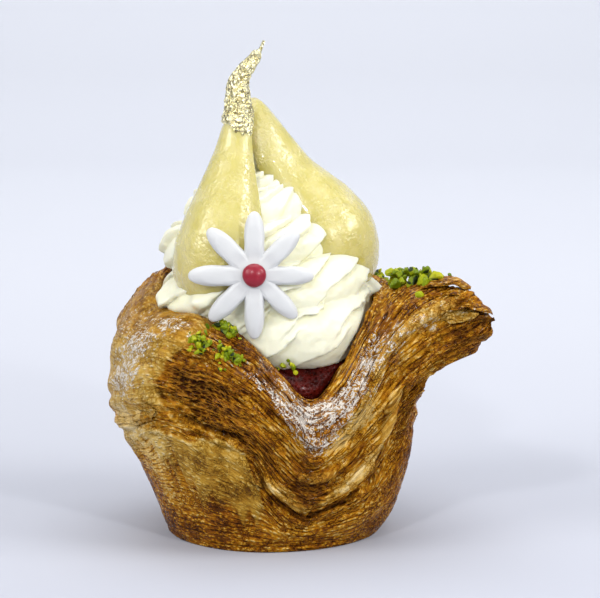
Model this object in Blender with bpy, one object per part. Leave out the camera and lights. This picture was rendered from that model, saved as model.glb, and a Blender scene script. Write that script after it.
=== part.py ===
"""Pear and cream tartlet in a laminated pastry cup.

A square of laminated dough is pressed into a tapered round mould, so that its
edges dip in notches and its corners stand up. One corner folds out into a
beak. The cup holds jam, a piped cream rosette, two halves of a baby pear, one
with a gilded stem, a sugar daisy, and chopped pistachios on the rim.

Sizes are in millimetres in this file and become metres at the meshes.
The origin is the centre of the flat base, +Z up, and the front is -Y.
"""
import math

import bmesh
import bpy
import numpy as np
from mathutils import Matrix, Vector

MM = 0.001
GAP = 0.3                      # air left between pieces that touch
SOFT_GAP = 0.6                 # and where cream or jam meets the uneven pastry
PART = "fruit_tartlet"

# ---------------------------------------------------------------- pastry cup
FOOT_R = 22.5                  # flat of the base
JAM_LINE_IN = 4.6              # the jam line lies this far inside the crest
CUP_ANGLES = 86                # columns round the cup
BEAK_ANGLE = -27.0             # the dough corner that folds out
FLOOR_R, FLOOR_Z = 17.0, 31.0  # floor of the hollow, under the jam
FOOT_TURN_UP = 1.5             # height of the rounded turn round the base
LIP_IN, LIP_DOWN = 2.2, 1.6    # the lip, from the crest
JAM_LINE_DOWN = 2.6            # the jam line lies this far under the crest,
JAM_LINE_TOP = 43.0            # and nowhere above this

# Rings of the cup from its foot over the rim: wall_low, layers_low,
# layers_under, layers_mid, layers_top, crust and crest, as (radius, height)
# at each named angle. The cut layers lie between layers_low and layers_top.
CUP_SECTIONS = {
    -180: ((29.2, 10.5), (34.4, 22.5), (38.6, 30.0), (39.5, 38.5), (36.9, 48.5), (32.8, 55.5), (28.3, 59.0)),
    -157: ((29.2, 10.5), (34.6, 23.5), (38.3, 30.5), (39.2, 38.5), (36.8, 48.5), (32.0, 54.5), (27.5, 56.5)),
    -133: ((29.0, 10.5), (35.0, 29.0), (37.8, 35.0), (38.8, 42.0), (36.2, 51.0), (31.5, 54.8), (27.0, 56.2)),
    -118: ((28.8, 10.0), (33.0, 25.5), (34.8, 32.0), (36.4, 40.5), (35.4, 50.0), (31.0, 53.2), (27.0, 54.4)),
    -99: ((28.0, 8.0), (31.3, 20.0), (33.0, 27.0), (34.6, 35.0), (34.8, 44.0), (31.5, 48.5), (28.2, 50.2)),
    -85: ((27.0, 5.0), (28.8, 10.0), (31.0, 17.5), (33.2, 27.0), (34.2, 36.0), (32.0, 41.2), (29.2, 43.4)),
    -72: ((26.6, 4.0), (27.8, 7.0), (30.4, 14.0), (32.4, 21.5), (33.0, 29.0), (32.0, 34.5), (30.0, 37.4)),
    -60: ((27.2, 4.5), (28.4, 8.0), (31.0, 16.0), (33.2, 25.0), (33.9, 33.0), (32.6, 39.0), (30.2, 41.5)),
    -46: ((28.8, 6.0), (30.4, 10.0), (33.5, 22.0), (36.5, 35.0), (37.0, 46.5), (34.5, 51.0), (30.5, 51.5)),
    -35: ((29.8, 8.0), (31.8, 13.0), (37.0, 36.0), (46.5, 46.5), (44.5, 57.0), (37.5, 60.0), (30.5, 58.0)),
    -27: ((30.5, 9.0), (33.0, 16.0), (44.0, 43.5), (59.0, 54.5), (51.0, 61.0), (42.0, 63.0), (31.0, 61.0)),
    -19: ((31.0, 9.5), (34.2, 22.0), (38.5, 40.5), (47.0, 48.5), (45.0, 58.0), (37.5, 62.0), (30.0, 61.2)),
    -8: ((31.2, 9.5), (34.8, 26.0), (36.5, 36.0), (39.0, 43.5), (38.5, 52.0), (34.5, 58.0), (29.5, 60.2)),
    18: ((31.0, 9.5), (34.2, 22.0), (36.2, 33.0), (37.6, 42.0), (36.6, 50.0), (33.0, 56.0), (29.0, 58.5)),
    63: ((29.2, 10.5), (33.5, 22.0), (38.5, 32.0), (42.0, 42.0), (40.0, 52.0), (35.0, 58.0), (29.0, 60.5)),
    108: ((28.3, 8.0), (31.3, 16.0), (34.5, 24.0), (36.2, 34.0), (35.0, 43.0), (31.8, 48.5), (28.5, 50.5)),
    153: ((29.0, 10.5), (33.5, 22.0), (38.0, 31.0), (40.0, 41.0), (38.0, 52.0), (33.5, 59.0), (28.8, 61.5)),
}
(CENTRE, FOOT, TURN, WALL, LAYERS_LOW, LAYERS_UNDER, LAYERS_MID, LAYERS_TOP,
 CRUST, CREST, LIP, JAM_LINE, FLOOR, WELL) = range(14)
# rows of the grid between one ring and the next
CUP_ROWS = {CENTRE: 1, FOOT: 1, TURN: 2, WALL: 3, LAYERS_LOW: 4, LAYERS_UNDER: 5,
            LAYERS_MID: 4, LAYERS_TOP: 2, CRUST: 2, CREST: 1, LIP: 1, JAM_LINE: 1, FLOOR: 1}
FOLD_DEPTH = 0.55              # how far the folds between dough layers stand
FOLDS = 5                      # broad folds across the band of layers
FOLD_WANDER, FOLD_WANDER_SIZE = 0.55, 26.0
RIM_EDGE, RIM_EDGE_RINGS = 0.7, 0.22   # the crisp edge between the cut layers and the crust
LUMPS, LUMP_SIZE = 0.35, 17.0  # uneven all over
FLAP_STEP = 1.1                # the smooth lobe on the left stands over the layers
FLAP_RISE, FLAP_FADE = 4.0, 28.0       # degrees over which it rises, and dies away behind
# (ring, angle) down the edge where that lobe ends
FLAP_EDGE = ((4.0, -112.0), (4.6, -122.0), (5.2, -130.0), (6.0, -133.0), (7.0, -122.0), (8.0, -118.0))
# columns stand closer where the shape turns fast: (angle, degrees wide, how much closer)
CLOSER = ((BEAK_ANGLE, 12.0, 2.2), (-80.0, 45.0, 0.7))

# ------------------------------------------------------------- jam and cream
JAM_TOP = 46.5
JAM_SHOULDER = 5.0             # power of the dome: higher is flatter on top
JAM_ROWS = 5
ROOM_R, ROOM_TOP = 75.0, 140.0 # open space over the cup, where the cream may be
CREAM_EYE = (0.5, 0.0, 62.0)   # the rosette is measured from here
CREAM_COLUMNS, CREAM_ROWS = 58, 29
# one turn of the piped rope after another: radius of its middle, height,
# thickness, and how far its middle lies to the right
CREAM_TURNS = ((19.5, 50.5, 7.4, 0.0), (19.6, 58.0, 7.0, 0.5), (15.6, 68.5, 6.6, -4.8),
               (10.0, 77.0, 6.2, -5.0), (3.8, 82.0, 4.8, -3.6), (0.0, 86.6, 3.2, -2.8))
CREAM_CORE_R = 9.0
CREAM_RIDGE = 1.3              # depth of the star nozzle's grooves
CREAM_RIDGES = 3.5             # waves of the grooves round the rope
CREAM_LEAN = 0.62              # how fast the grooves climb round the rosette

# --------------------------------------------------------------- pear halves
# (part of the length from the stem end, half width in mm)
PEAR_PROFILES = {
    "pear_half_left": ((0.0, 0.0), (0.004, 2.6), (0.03, 3.7), (0.15, 4.9), (0.28, 6.6), (0.42, 8.7),
                       (0.56, 10.6), (0.69, 11.7), (0.81, 11.3), (0.91, 9.0), (0.975, 5.2), (1.0, 0.0)),
    "pear_half_right": ((0.0, 0.0), (0.005, 2.4), (0.04, 3.8), (0.15, 5.0), (0.25, 5.8), (0.36, 6.8),
                        (0.48, 9.3), (0.58, 11.3), (0.71, 12.4), (0.83, 10.9), (0.94, 6.8), (1.0, 0.0)),
}
PEAR_STEPS = 10                # facets round the half
NECK_FULLER = {"pear_half_right": 0.5}     # share by which one side of the neck is fuller
NECK_AT, NECK_WIDE = 0.28, 0.16            # where on the length, and over how much of it
PEAR_BEVEL = 1.2               # the softened edge of the cut face
# stem end, blossom end and the way the round side faces
PEARS = {
    "pear_half_left": ((-7.6, -5.2, 99.5), (-13.0, -16.0, 55.5), (-0.50, -0.86, 0.10)),
    "pear_half_right": ((-6.8, 3.0, 103.3), (21.0, 0.0, 57.3), (0.76, -0.54, 0.37)),
}

# ----------------------------------------------------------------- the stem
# (x, y, z, radius) along the stem, from the pear's neck to its cut end
STEM_PATH = ((-7.54, -5.08, 99.95, 3.2), (-7.4, -4.8, 101.1, 3.35), (-7.9, -4.4, 104.2, 2.9),
             (-7.5, -3.9, 107.4, 2.15), (-6.4, -3.4, 110.6, 1.5), (-4.7, -2.9, 114.0, 0.95),
             (-3.0, -2.4, 116.6, 0.75), (-1.7, -2.0, 118.3, 0.65))
STEM_CRUMPLE = 0.16            # dents in the leaf of gold, of its radius at most
STEM_CRUMPLE_FROM = 101.5      # height over which the leaf is dented

# ---------------------------------------------------------------- the daisy
DAISY_AT = (-3.8, -25.2, 66.0) # middle of its back
DAISY_TILT = 10.0              # degrees that it leans back
# (radius, half width) along a petal
PETAL_SHAPE = ((5.6, 2.32), (7.4, 2.3), (9.6, 2.38), (11.8, 2.1), (13.6, 1.5), (14.6, 0.75))
PETAL_TIP_OUT = 0.25
# how long each petal is, from the top one on, anticlockwise as seen from the front
PETAL_LENGTHS = (1.0, 1.02, 1.03, 0.98, 0.985, 0.925, 0.925, 0.965)
# a pillowed cross-section from the back's middle to the face's: (part of the radius, height)
DAISY_SECTION = ((0.0, 0.0), (0.93, 0.0), (1.0, 0.45), (0.95, 0.9), (0.78, 1.63), (0.45, 1.9), (0.0, 1.9))
DIMPLE, DIMPLE_R, DIMPLE_WIDE = 0.30, 4.2, 1.6   # the face sinks round the middle
DAISY_EYE_R = 2.75
EYE_UP, EYE_DOWN = 0.62, 0.12  # the button's height over and under its widest
EYE_SKEW = 0.06

# --------------------------------------------------------------- pistachios
# clusters of crumbs on the rim: angle, ring, spread in degrees, spread in rings,
# how many, mean radius
CRUMB_CLUSTERS = ((-19.0, 8.35, 10.0, 0.5, 11, 1.8), (-28.0, 8.1, 4.0, 0.35, 3, 1.6),
                  (-112.5, 8.6, 5.0, 0.2, 7, 1.15),
                  (-117.5, 7.25, 3.8, 0.25, 6, 1.15), (-106.0, 7.2, 5.0, 0.22, 7, 1.1),
                  (45.0, 8.5, 18.0, 0.30, 4, 1.3), (96.0, 8.4, 18.0, 0.30, 4, 1.2))
CRUMB_SINK = 0.45              # how far its middle stands out, of its radius
SMOOTH_UP_TO = 50.0            # edges with a sharper turn than this stay crisp


def material(name, colour, roughness, metallic=0.0):
    """The Principled material of that name, in one colour."""
    mat = bpy.data.materials.get(name)
    if mat is not None:
        return mat
    mat = bpy.data.materials.new(name)
    mat.use_nodes = True
    shader = mat.node_tree.nodes["Principled BSDF"]
    shader.inputs["Base Color"].default_value = (*colour, 1.0)
    shader.inputs["Roughness"].default_value = roughness
    shader.inputs["Metallic"].default_value = metallic
    mat.diffuse_color = (*colour, 1.0)
    return mat


def add_object(name, bm, mat, collection):
    """Put a bmesh worked out in millimetres into a new object in metres."""
    bmesh.ops.scale(bm, vec=(MM, MM, MM), verts=bm.verts)
    mesh = bpy.data.meshes.new(name)
    bm.to_mesh(mesh)
    bm.free()
    obj = bpy.data.objects.new(name, mesh)
    mesh.materials.append(mat)
    collection.objects.link(obj)
    return obj


def grid_bmesh(points):
    """Closed skin over rows of points, with one pole before and one after them.

    points has the shape (rows, columns, 3). The first and last rows are poles:
    all their columns are one point. Columns close on themselves, and rows run
    so that row cross column points outwards.
    """
    rows, columns, _ = points.shape
    bm = bmesh.new()
    first = bm.verts.new(points[0, 0])
    rings = [[bm.verts.new(p) for p in row] for row in points[1:-1]]
    last = bm.verts.new(points[-1, 0])
    for j in range(columns):
        k = (j + 1) % columns
        bm.faces.new((first, rings[0][k], rings[0][j]))
        bm.faces.new((last, rings[-1][j], rings[-1][k]))
        for low, high in zip(rings[:-1], rings[1:]):
            bm.faces.new((low[j], low[k], high[k], high[j]))
    bmesh.ops.triangulate(bm, faces=bm.faces)
    return bm


def swell_out(bm, by):
    """Push every point out along its normal, which leaves a gap round a cutter."""
    bm.normal_update()
    for vert, push in [(v, v.normal.copy()) for v in bm.verts]:
        vert.co += by * push


def apply_modifiers(obj):
    """Make the object's evaluated shape its own mesh."""
    bpy.context.view_layer.update()
    evaluated = obj.evaluated_get(bpy.context.evaluated_depsgraph_get())
    mesh = bpy.data.meshes.new_from_object(evaluated)
    obj.modifiers.clear()
    obj.data = mesh


def boolean(obj, operation, other=None, collection=None, solver="EXACT"):
    """Cut, join or intersect an object with another, or with a collection."""
    mod = obj.modifiers.new(operation.title(), "BOOLEAN")
    mod.operation = operation
    mod.solver = solver
    if collection is not None:
        mod.operand_type = "COLLECTION"
        mod.collection = collection
    else:
        mod.object = other
    apply_modifiers(obj)


def largest_piece(obj):
    """Drop the loose scraps that a cut leaves, and keep the largest body."""
    bm = bmesh.new()
    bm.from_mesh(obj.data)
    bmesh.ops.remove_doubles(bm, verts=bm.verts, dist=1e-7)
    todo, bodies = set(bm.verts), []
    while todo:
        body, front = set(), [todo.pop()]
        while front:
            vert = front.pop()
            body.add(vert)
            near = {edge.other_vert(vert) for edge in vert.link_edges} & todo
            todo -= near
            front.extend(near)
        bodies.append(body)
    bodies.sort(key=len)
    bmesh.ops.delete(bm, geom=[v for body in bodies[:-1] for v in body], context="VERTS")
    bm.to_mesh(obj.data)
    bm.free()


def smooth_noise(x, y, z, seed, size):
    """Gentle lumps: a few sine waves with seeded directions, about -1 to 1."""
    rng = np.random.default_rng(seed)
    total = np.zeros_like(x, dtype=float)
    for _ in range(6):
        wave = rng.normal(size=3)
        wave *= 2 * math.pi / (size * rng.uniform(0.7, 1.5) * np.linalg.norm(wave))
        total += np.sin(wave[0] * x + wave[1] * y + wave[2] * z + rng.uniform(0, 2 * math.pi))
    return total / 3.0


def in_space(radius, height, angles):
    """Cylinder coordinates, with the angles in degrees, to points."""
    turn = np.radians(angles)[None, :]
    return np.stack((radius * np.cos(turn), radius * np.sin(turn), height + 0 * turn), axis=-1)


# ---------------------------------------------------------------- pastry cup
def round_slopes(at, values):
    """Slopes of a curve through values at rising places that closes on itself.

    Each slope is the harmonic mean of its neighbours' where they agree in
    sign and zero where they don't, so the curve never overshoots.
    """
    step = np.roll(at, -1) - at
    step[-1] += 360.0
    rise = (np.roll(values, -1, axis=0) - values) / step[:, None]
    before = np.roll(rise, 1, axis=0)
    same = before * rise > 0
    mean = 2 * before * rise / np.where(same, before + rise, 1.0)
    return np.where(same, mean, 0.0), step


def hermite(t, span, a, b, slope_a, slope_b):
    """Cubic from a to b with the given end slopes, at the part t of the span."""
    return (a * (2 * t**3 - 3 * t**2 + 1) + b * (3 * t**2 - 2 * t**3)
            + span * (slope_a * (t**3 - 2 * t**2 + t) + slope_b * (t**3 - t**2)))


def cup_rings(angles):
    """Radius and height of every ring of the cup at the given angles (degrees)."""
    at = np.array(sorted(CUP_SECTIONS), dtype=float)
    table = np.array([CUP_SECTIONS[int(a)] for a in at]).reshape(len(at), -1)
    slopes, step = round_slopes(at, table)
    turned = (angles - at[0]) % 360.0 + at[0]
    i = np.clip(np.searchsorted(at, turned, side="right") - 1, 0, len(at) - 1)
    k = (i + 1) % len(at)
    t = ((turned - at[i]) / step[i])[:, None]
    span = step[i][:, None]
    shaped = hermite(t, span, table[i], table[k], slopes[i], slopes[k])
    shaped = shaped.reshape(len(angles), -1, 2)
    wall, crest = shaped[:, 0], shaped[:, -1]
    rings = np.zeros((len(angles), WELL + 1, 2))
    rings[:, FOOT] = (FOOT_R, 0.0)
    rings[:, TURN, 0] = 0.5 * (FOOT_R + wall[:, 0])
    rings[:, TURN, 1] = FOOT_TURN_UP
    rings[:, WALL:CREST + 1] = shaped
    rings[:, LIP] = crest - (LIP_IN, LIP_DOWN)
    rings[:, JAM_LINE, 0] = crest[:, 0] - JAM_LINE_IN
    rings[:, JAM_LINE, 1] = np.minimum(crest[:, 1] - JAM_LINE_DOWN, JAM_LINE_TOP)
    rings[:, FLOOR] = (FLOOR_R, FLOOR_Z)
    rings[:, WELL] = (0.0, FLOOR_Z)
    return rings


def cup_profile(rings, s):
    """Points at the ring numbers s: a smooth curve through the rings, flat below."""
    i = np.clip(s.astype(int), 0, WELL - 1)
    t = (s - i)[None, :, None]
    slopes = 0.5 * (np.roll(rings, -1, axis=1) - np.roll(rings, 1, axis=1))
    slopes[:, [CENTRE, WELL]] = 0.0
    slopes[:, FOOT, 1] = 0.0
    slopes[:, FLOOR, 1] = 0.0
    shaped = hermite(t, 1.0, rings[:, i], rings[:, i + 1], slopes[:, i], slopes[:, i + 1])
    straight = rings[:, i] * (1 - t) + rings[:, i + 1] * t
    flat = ((i < FOOT) | (i >= JAM_LINE))[None, :, None]
    return np.where(flat, straight, shaped)


def outward_normals(points):
    """Unit normals of a grid of (rows, columns, 3) points whose columns close."""
    along = np.gradient(points, axis=0)
    across = np.roll(points, -1, axis=1) - np.roll(points, 1, axis=1)
    normal = np.cross(across, along)
    length = np.linalg.norm(normal, axis=2, keepdims=True)
    return normal / np.maximum(length, 1e-9)


def ramp(values, start, length):
    """0 up to the start, 1 from one length further on, and straight between."""
    return np.clip((values - start) / length, 0.0, 1.0)


def flap(angles, s):
    """1 on the smooth lobe behind its edge, 0 in front of it, as (rows, columns)."""
    edge = np.interp(s, *np.transpose(FLAP_EDGE))[:, None]
    behind = edge - ((angles[None, :] + 360.0) % 360.0 - 360.0)
    fade = np.exp(-((behind / FLAP_FADE) ** 2))
    return ramp(behind, 0.0, FLAP_RISE) * fade * ramp(s, LAYERS_LOW - 0.6, 0.6)[:, None]


def cup_surface(angles, s):
    """The cup's skin, with the broad folds of its layers, as (rows, columns, 3)."""
    profile = cup_profile(cup_rings(angles), s)
    radius, height = profile[..., 0].T, profile[..., 1].T
    points = in_space(radius, height, angles)
    x, y, z = np.moveaxis(points, -1, 0)
    band = (s - LAYERS_LOW) / (LAYERS_TOP - LAYERS_LOW)
    inside = np.clip(np.minimum(band, 1 - band) * 6 + 0.4, 0, 1)[:, None]
    wander = FOLD_WANDER * smooth_noise(x, y, z, 11, FOLD_WANDER_SIZE)
    fold = inside * np.sin(2 * math.pi * (FOLDS * band[:, None] + wander))
    rim = np.exp(-(((s - LAYERS_TOP) / RIM_EDGE_RINGS) ** 2))[:, None]
    lobe = flap(angles, s)
    push = (FOLD_DEPTH * fold * (1 - 0.6 * lobe) + RIM_EDGE * rim * (1 - lobe)
            + FLAP_STEP * lobe + LUMPS * smooth_noise(x, y, z, 5, LUMP_SIZE))
    push = push * (ramp(s, FOOT + 0.6, 1.5) * (1 - ramp(s, CREST - 0.8, 0.8)))[:, None]
    return points + push[..., None] * outward_normals(points)


def cup_columns(count):
    """Angles round the cup, closest where the beak and the front notch are."""
    fine = np.linspace(-180, 180, 721)
    weight = np.ones_like(fine)
    for angle, wide, closer in CLOSER:
        weight += closer * np.exp(-((fine - angle) / wide) ** 2)
    total = np.concatenate(([0.0], np.cumsum(0.5 * (weight[1:] + weight[:-1]))))
    return np.interp(np.arange(count) * total[-1] / count, total, fine)


def cup_row_numbers():
    """Ring numbers of the grid's rows, from the base's centre to the well's."""
    rows = [np.linspace(k, k + 1, n, endpoint=False) for k, n in sorted(CUP_ROWS.items())]
    return np.concatenate(rows + [np.array([float(WELL)])])


def crumb(at, normal, radius, rng):
    """One chopped pistachio: a rough nugget sunk a little into what it lies on."""
    bm = bmesh.new()
    bmesh.ops.create_icosphere(bm, subdivisions=1, radius=radius)
    spin = rng.uniform(0, 2 * math.pi, size=2)
    turn = Matrix.Rotation(spin[0], 4, "X") @ Matrix.Rotation(spin[1], 4, "Z")
    squash = rng.uniform((0.9, 0.7, 0.6), (1.35, 1.0, 0.9))
    for vert in bm.verts:
        point = Vector(np.array(vert.co) * squash * rng.uniform(0.85, 1.15, size=3))
        vert.co = turn @ point + Vector(at) + CRUMB_SINK * radius * Vector(normal)
    return bm


def on_the_cup(angle, ring):
    """A point on the cup's skin and the outward normal there."""
    patch = cup_surface(angle + np.array([-0.5, 0.0, 0.5]), ring + np.array([-0.05, 0.0, 0.05]))
    normal = np.cross(patch[1, 2] - patch[1, 0], patch[2, 1] - patch[0, 1])
    return patch[1, 1], normal / np.linalg.norm(normal)


def pastry_cup(collection, angles):
    """The pastry with its pistachios: one body, as the crumbs are baked on."""
    pastry = material("laminated_pastry", (0.45, 0.23, 0.06), 0.5)
    skin = cup_surface(angles, cup_row_numbers())
    cup = add_object("pastry_shell", grid_bmesh(skin), pastry, collection)
    crumbs = bpy.data.collections.new("crumbs_to_join")
    bpy.context.scene.collection.children.link(crumbs)
    rng = np.random.default_rng(7)
    for angle, ring, wide, deep, count, mean in CRUMB_CLUSTERS:
        for _ in range(count):
            at, normal = on_the_cup(angle + wide * rng.uniform(-1, 1), ring + deep * rng.uniform(-1, 1))
            nugget = crumb(at, normal, mean * rng.uniform(0.75, 1.3), rng)
            add_object("crumb", nugget, pastry, crumbs)
    boolean(cup, "UNION", collection=crumbs, solver="MANIFOLD")
    for obj in list(crumbs.objects):
        bpy.data.objects.remove(obj)
    bpy.data.collections.remove(crumbs)
    largest_piece(cup)
    return cup


# ------------------------------------------------------------- jam and cream
def jam_dome(rings, inset):
    """Rows over the jam from its edge to its middle: a flat-topped dome."""
    edge_r, edge_z = rings[:, JAM_LINE, 0] - inset, rings[:, JAM_LINE, 1]
    part = np.linspace(1.0, 0.0, JAM_ROWS)[:, None]
    height = edge_z + (JAM_TOP - edge_z) * np.sqrt(1 - part**JAM_SHOULDER)
    return part * edge_r, height


def jam(collection, angles):
    """The jam that fills the well up to the notch."""
    rings = cup_rings(angles)
    floor = cup_surface(angles, np.array([WELL, FLOOR], dtype=float))
    radius = np.maximum(np.hypot(floor[..., 0], floor[..., 1]) - SOFT_GAP, 0.0)
    bottom = in_space(radius, floor[..., 2] + SOFT_GAP, angles)
    radius, height = jam_dome(rings, 1.5 * SOFT_GAP)
    points = np.concatenate((bottom, in_space(radius, height, angles)))
    jelly = material("berry_jam", (0.10, 0.008, 0.012), 0.25)
    return add_object("jam_filling", grid_bmesh(points), jelly, collection)


def cream_room(angles):
    """The space over the jam and inside and above the pastry's rim, as a cutter."""
    radius, height = jam_dome(cup_rings(angles), 2 * SOFT_GAP)
    dome = in_space(radius[::-1], height[::-1] + SOFT_GAP, angles)
    rim = cup_surface(angles, np.array([LIP + 0.4, LIP - 0.2, CREST, CREST - 0.5, CRUST - 0.5]))
    rim = rim - SOFT_GAP * outward_normals(rim)      # its rows run outwards
    out = in_space(np.full((1, len(angles)), ROOM_R), rim[-1:, :, 2], angles)
    top = out.copy()
    top[..., 2] = ROOM_TOP
    middle = top.copy()
    middle[..., :2] = 0.0
    return np.concatenate((dome, rim, out, top, middle))


def cream_radius(azimuth, polar):
    """Distance from the rosette's eye to its skin, in the given directions.

    The skin is the furthest that any turn of the rope reaches along the ray,
    over a plump core. azimuth and polar are arrays of one shape, in radians.
    """
    turns = np.array(CREAM_TURNS)
    ray_r, ray_z = np.sin(polar), np.cos(polar)
    part = (azimuth / (2 * math.pi) + 0.5) % 1.0
    best = CREAM_CORE_R + 0 * polar
    for k in range(-1, len(turns)):
        at = np.clip(k + part, 0, len(turns) - 1)
        i = np.clip(at.astype(int), 0, len(turns) - 2)
        mix = (at - i)[..., None]
        rope_r, rope_z, thick, shift = np.moveaxis(turns[i] * (1 - mix) + turns[i + 1] * mix, -1, 0)
        rope_r = rope_r + shift * np.cos(azimuth)
        rope_z = rope_z - CREAM_EYE[2]
        along = rope_r * ray_r + rope_z * ray_z
        off = rope_r**2 + rope_z**2 - along**2
        hit = along + np.sqrt(np.maximum(thick**2 - off, 0))
        spin = np.arctan2(hit * ray_z - rope_z, hit * ray_r - rope_r)
        groove = np.cos(CREAM_RIDGES * (spin + CREAM_LEAN * 2 * math.pi * (k + part)))
        hit = hit + CREAM_RIDGE * (np.abs(groove) - 0.5)
        best = np.where(off < thick**2, np.maximum(best, hit), best)
    return best


def cream_rosette(collection, angles):
    """The piped rosette, cut where it meets the pastry, the jam and the pears."""
    azimuth = np.linspace(0, 2 * math.pi, CREAM_COLUMNS, endpoint=False)[None, :]
    polar = np.linspace(math.pi, 0, CREAM_ROWS)[:, None]
    azimuth, polar = np.broadcast_arrays(azimuth, polar)
    reach = cream_radius(azimuth, polar)
    reach[[0, -1]] = reach[[0, -1]].mean(axis=1, keepdims=True)
    points = np.stack((CREAM_EYE[0] + reach * np.sin(polar) * np.cos(azimuth),
                       CREAM_EYE[1] + reach * np.sin(polar) * np.sin(azimuth),
                       CREAM_EYE[2] + reach * np.cos(polar)), axis=-1)
    cream = material("piped_cream", (0.86, 0.83, 0.68), 0.45)
    rosette = add_object("cream_rosette", grid_bmesh(points), cream, collection)
    cutters = bpy.data.collections.new("cutters")
    bpy.context.scene.collection.children.link(cutters)
    room = add_object("cream_room", grid_bmesh(cream_room(angles)), cream, cutters)
    boolean(rosette, "INTERSECT", room, solver="MANIFOLD")
    pressed = [pear_half(name, cutters, swell=GAP) for name in PEARS]
    pressed.append(daisy_petals(cutters, swell=GAP))
    for cutter in pressed:
        boolean(rosette, "DIFFERENCE", cutter, solver="MANIFOLD")
    for obj in list(cutters.objects):
        bpy.data.objects.remove(obj)
    bpy.data.collections.remove(cutters)
    largest_piece(rosette)
    return rosette


# --------------------------------------------------------------- pear halves
def pear_half(name, collection, swell=0.0):
    """Half a peeled baby pear: a half turn of its profile with a soft cut edge."""
    stem_end, blossom_end, facing = (Vector(v) for v in PEARS[name])
    axis = blossom_end - stem_end
    length = axis.length
    bm = bmesh.new()
    line = [bm.verts.new((half, 0.0, -part * length)) for part, half in PEAR_PROFILES[name]]
    for a, b in zip(line[:-1], line[1:]):
        bm.edges.new((a, b))
    bmesh.ops.spin(bm, geom=bm.verts[:] + bm.edges[:], cent=(0, 0, 0), axis=(0, 0, 1),
                   dvec=(0, 0, 0), angle=math.pi, steps=PEAR_STEPS)
    bmesh.ops.remove_doubles(bm, verts=bm.verts, dist=0.01)
    rim = [edge for edge in bm.edges if edge.is_boundary]
    bmesh.ops.contextual_create(bm, geom=rim)
    bmesh.ops.recalc_face_normals(bm, faces=bm.faces)
    cut_edge = [e for e in bm.edges if all(abs(v.co.y) < 0.01 for v in e.verts)]
    bmesh.ops.bevel(bm, geom=cut_edge, offset=PEAR_BEVEL, segments=2, profile=0.5,
                    affect="EDGES", clamp_overlap=True)
    bmesh.ops.remove_doubles(bm, verts=bm.verts, dist=0.01)
    bmesh.ops.triangulate(bm, faces=bm.faces)
    bmesh.ops.recalc_face_normals(bm, faces=bm.faces)
    fuller = NECK_FULLER.get(name, 0.0)
    for vert in bm.verts:
        bell = math.exp(-(((-vert.co.z / length - NECK_AT) / NECK_WIDE) ** 2))
        vert.co.x *= 1 + (fuller * bell if vert.co.x > 0 else 0.0)
    swell_out(bm, swell)
    up = -axis.normalized()
    out = (facing - facing.dot(up) * up).normalized()
    side = out.cross(up)
    frame = Matrix((side, out, up)).transposed().to_4x4()
    bmesh.ops.transform(bm, matrix=Matrix.Translation(stem_end) @ frame, verts=bm.verts)
    flesh = material("pear_flesh", (0.78, 0.68, 0.28), 0.2)
    return add_object(name, bm, flesh, collection)


def stem_tube():
    """A tapered tube along the stem, in millimetres."""
    curve = bpy.data.curves.new("stem_line", "CURVE")
    curve.dimensions = "3D"
    curve.bevel_depth = MM
    curve.bevel_resolution = 2
    curve.use_fill_caps = True
    line = curve.splines.new("POLY")
    line.points.add(len(STEM_PATH) - 1)
    for point, (x, y, z, radius) in zip(line.points, STEM_PATH):
        point.co = (x * MM, y * MM, z * MM, 1.0)
        point.radius = radius
    tube = bpy.data.objects.new("stem_line", curve)
    bpy.context.scene.collection.objects.link(tube)
    bpy.context.view_layer.update()
    mesh = bpy.data.meshes.new_from_object(tube.evaluated_get(bpy.context.evaluated_depsgraph_get()))
    bm = bmesh.new()
    bm.from_mesh(mesh)
    bpy.data.objects.remove(tube)
    bmesh.ops.scale(bm, vec=(1 / MM, 1 / MM, 1 / MM), verts=bm.verts)
    bmesh.ops.remove_doubles(bm, verts=bm.verts, dist=0.01)
    bmesh.ops.triangulate(bm, faces=bm.faces)
    return bm


def gilded_stem(collection):
    """The pear's stem under crumpled gold leaf: a tapered tube with dents."""
    bm = stem_tube()
    bm.normal_update()
    rng = np.random.default_rng(3)
    _, _, heights, radii = np.transpose(STEM_PATH)
    for vert, push in [(v, v.normal.copy()) for v in bm.verts]:
        dent = STEM_CRUMPLE * rng.uniform(-1, 0.6)
        if vert.co.z > STEM_CRUMPLE_FROM:
            vert.co += dent * float(np.interp(vert.co.z, heights, radii)) * push
    gold = material("gold_leaf", (0.83, 0.62, 0.22), 0.3, 1.0)
    return add_object("gilded_stem", bm, gold, collection)


# ---------------------------------------------------------------- the daisy
def daisy_frame():
    """Places the daisy: its face turns to the front and leans back a little."""
    lean = Matrix.Rotation(math.radians(90.0 - DAISY_TILT), 4, "X")
    return Matrix.Translation(Vector(DAISY_AT)) @ lean


def daisy_outline():
    """The outline as (angle, radius): each petal's two sides and its tip.

    The valley after a petal is the first point of the next petal's side.
    """
    shape = np.array(PETAL_SHAPE)
    reach = np.hypot(shape[:, 0], shape[:, 1])
    half = np.arctan2(shape[:, 1], shape[:, 0])
    tip = (0.0, shape[-1, 0] + PETAL_TIP_OUT)
    side = list(zip(-half, reach))
    other = list(zip(half, reach))[:0:-1]
    outline = []
    for petal, length in enumerate(PETAL_LENGTHS):
        middle = 2 * math.pi * petal / len(PETAL_LENGTHS) + math.pi / 2
        outline += [(middle + a, length * r) for a, r in side + [tip] + other]
    return np.array(outline)


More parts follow.
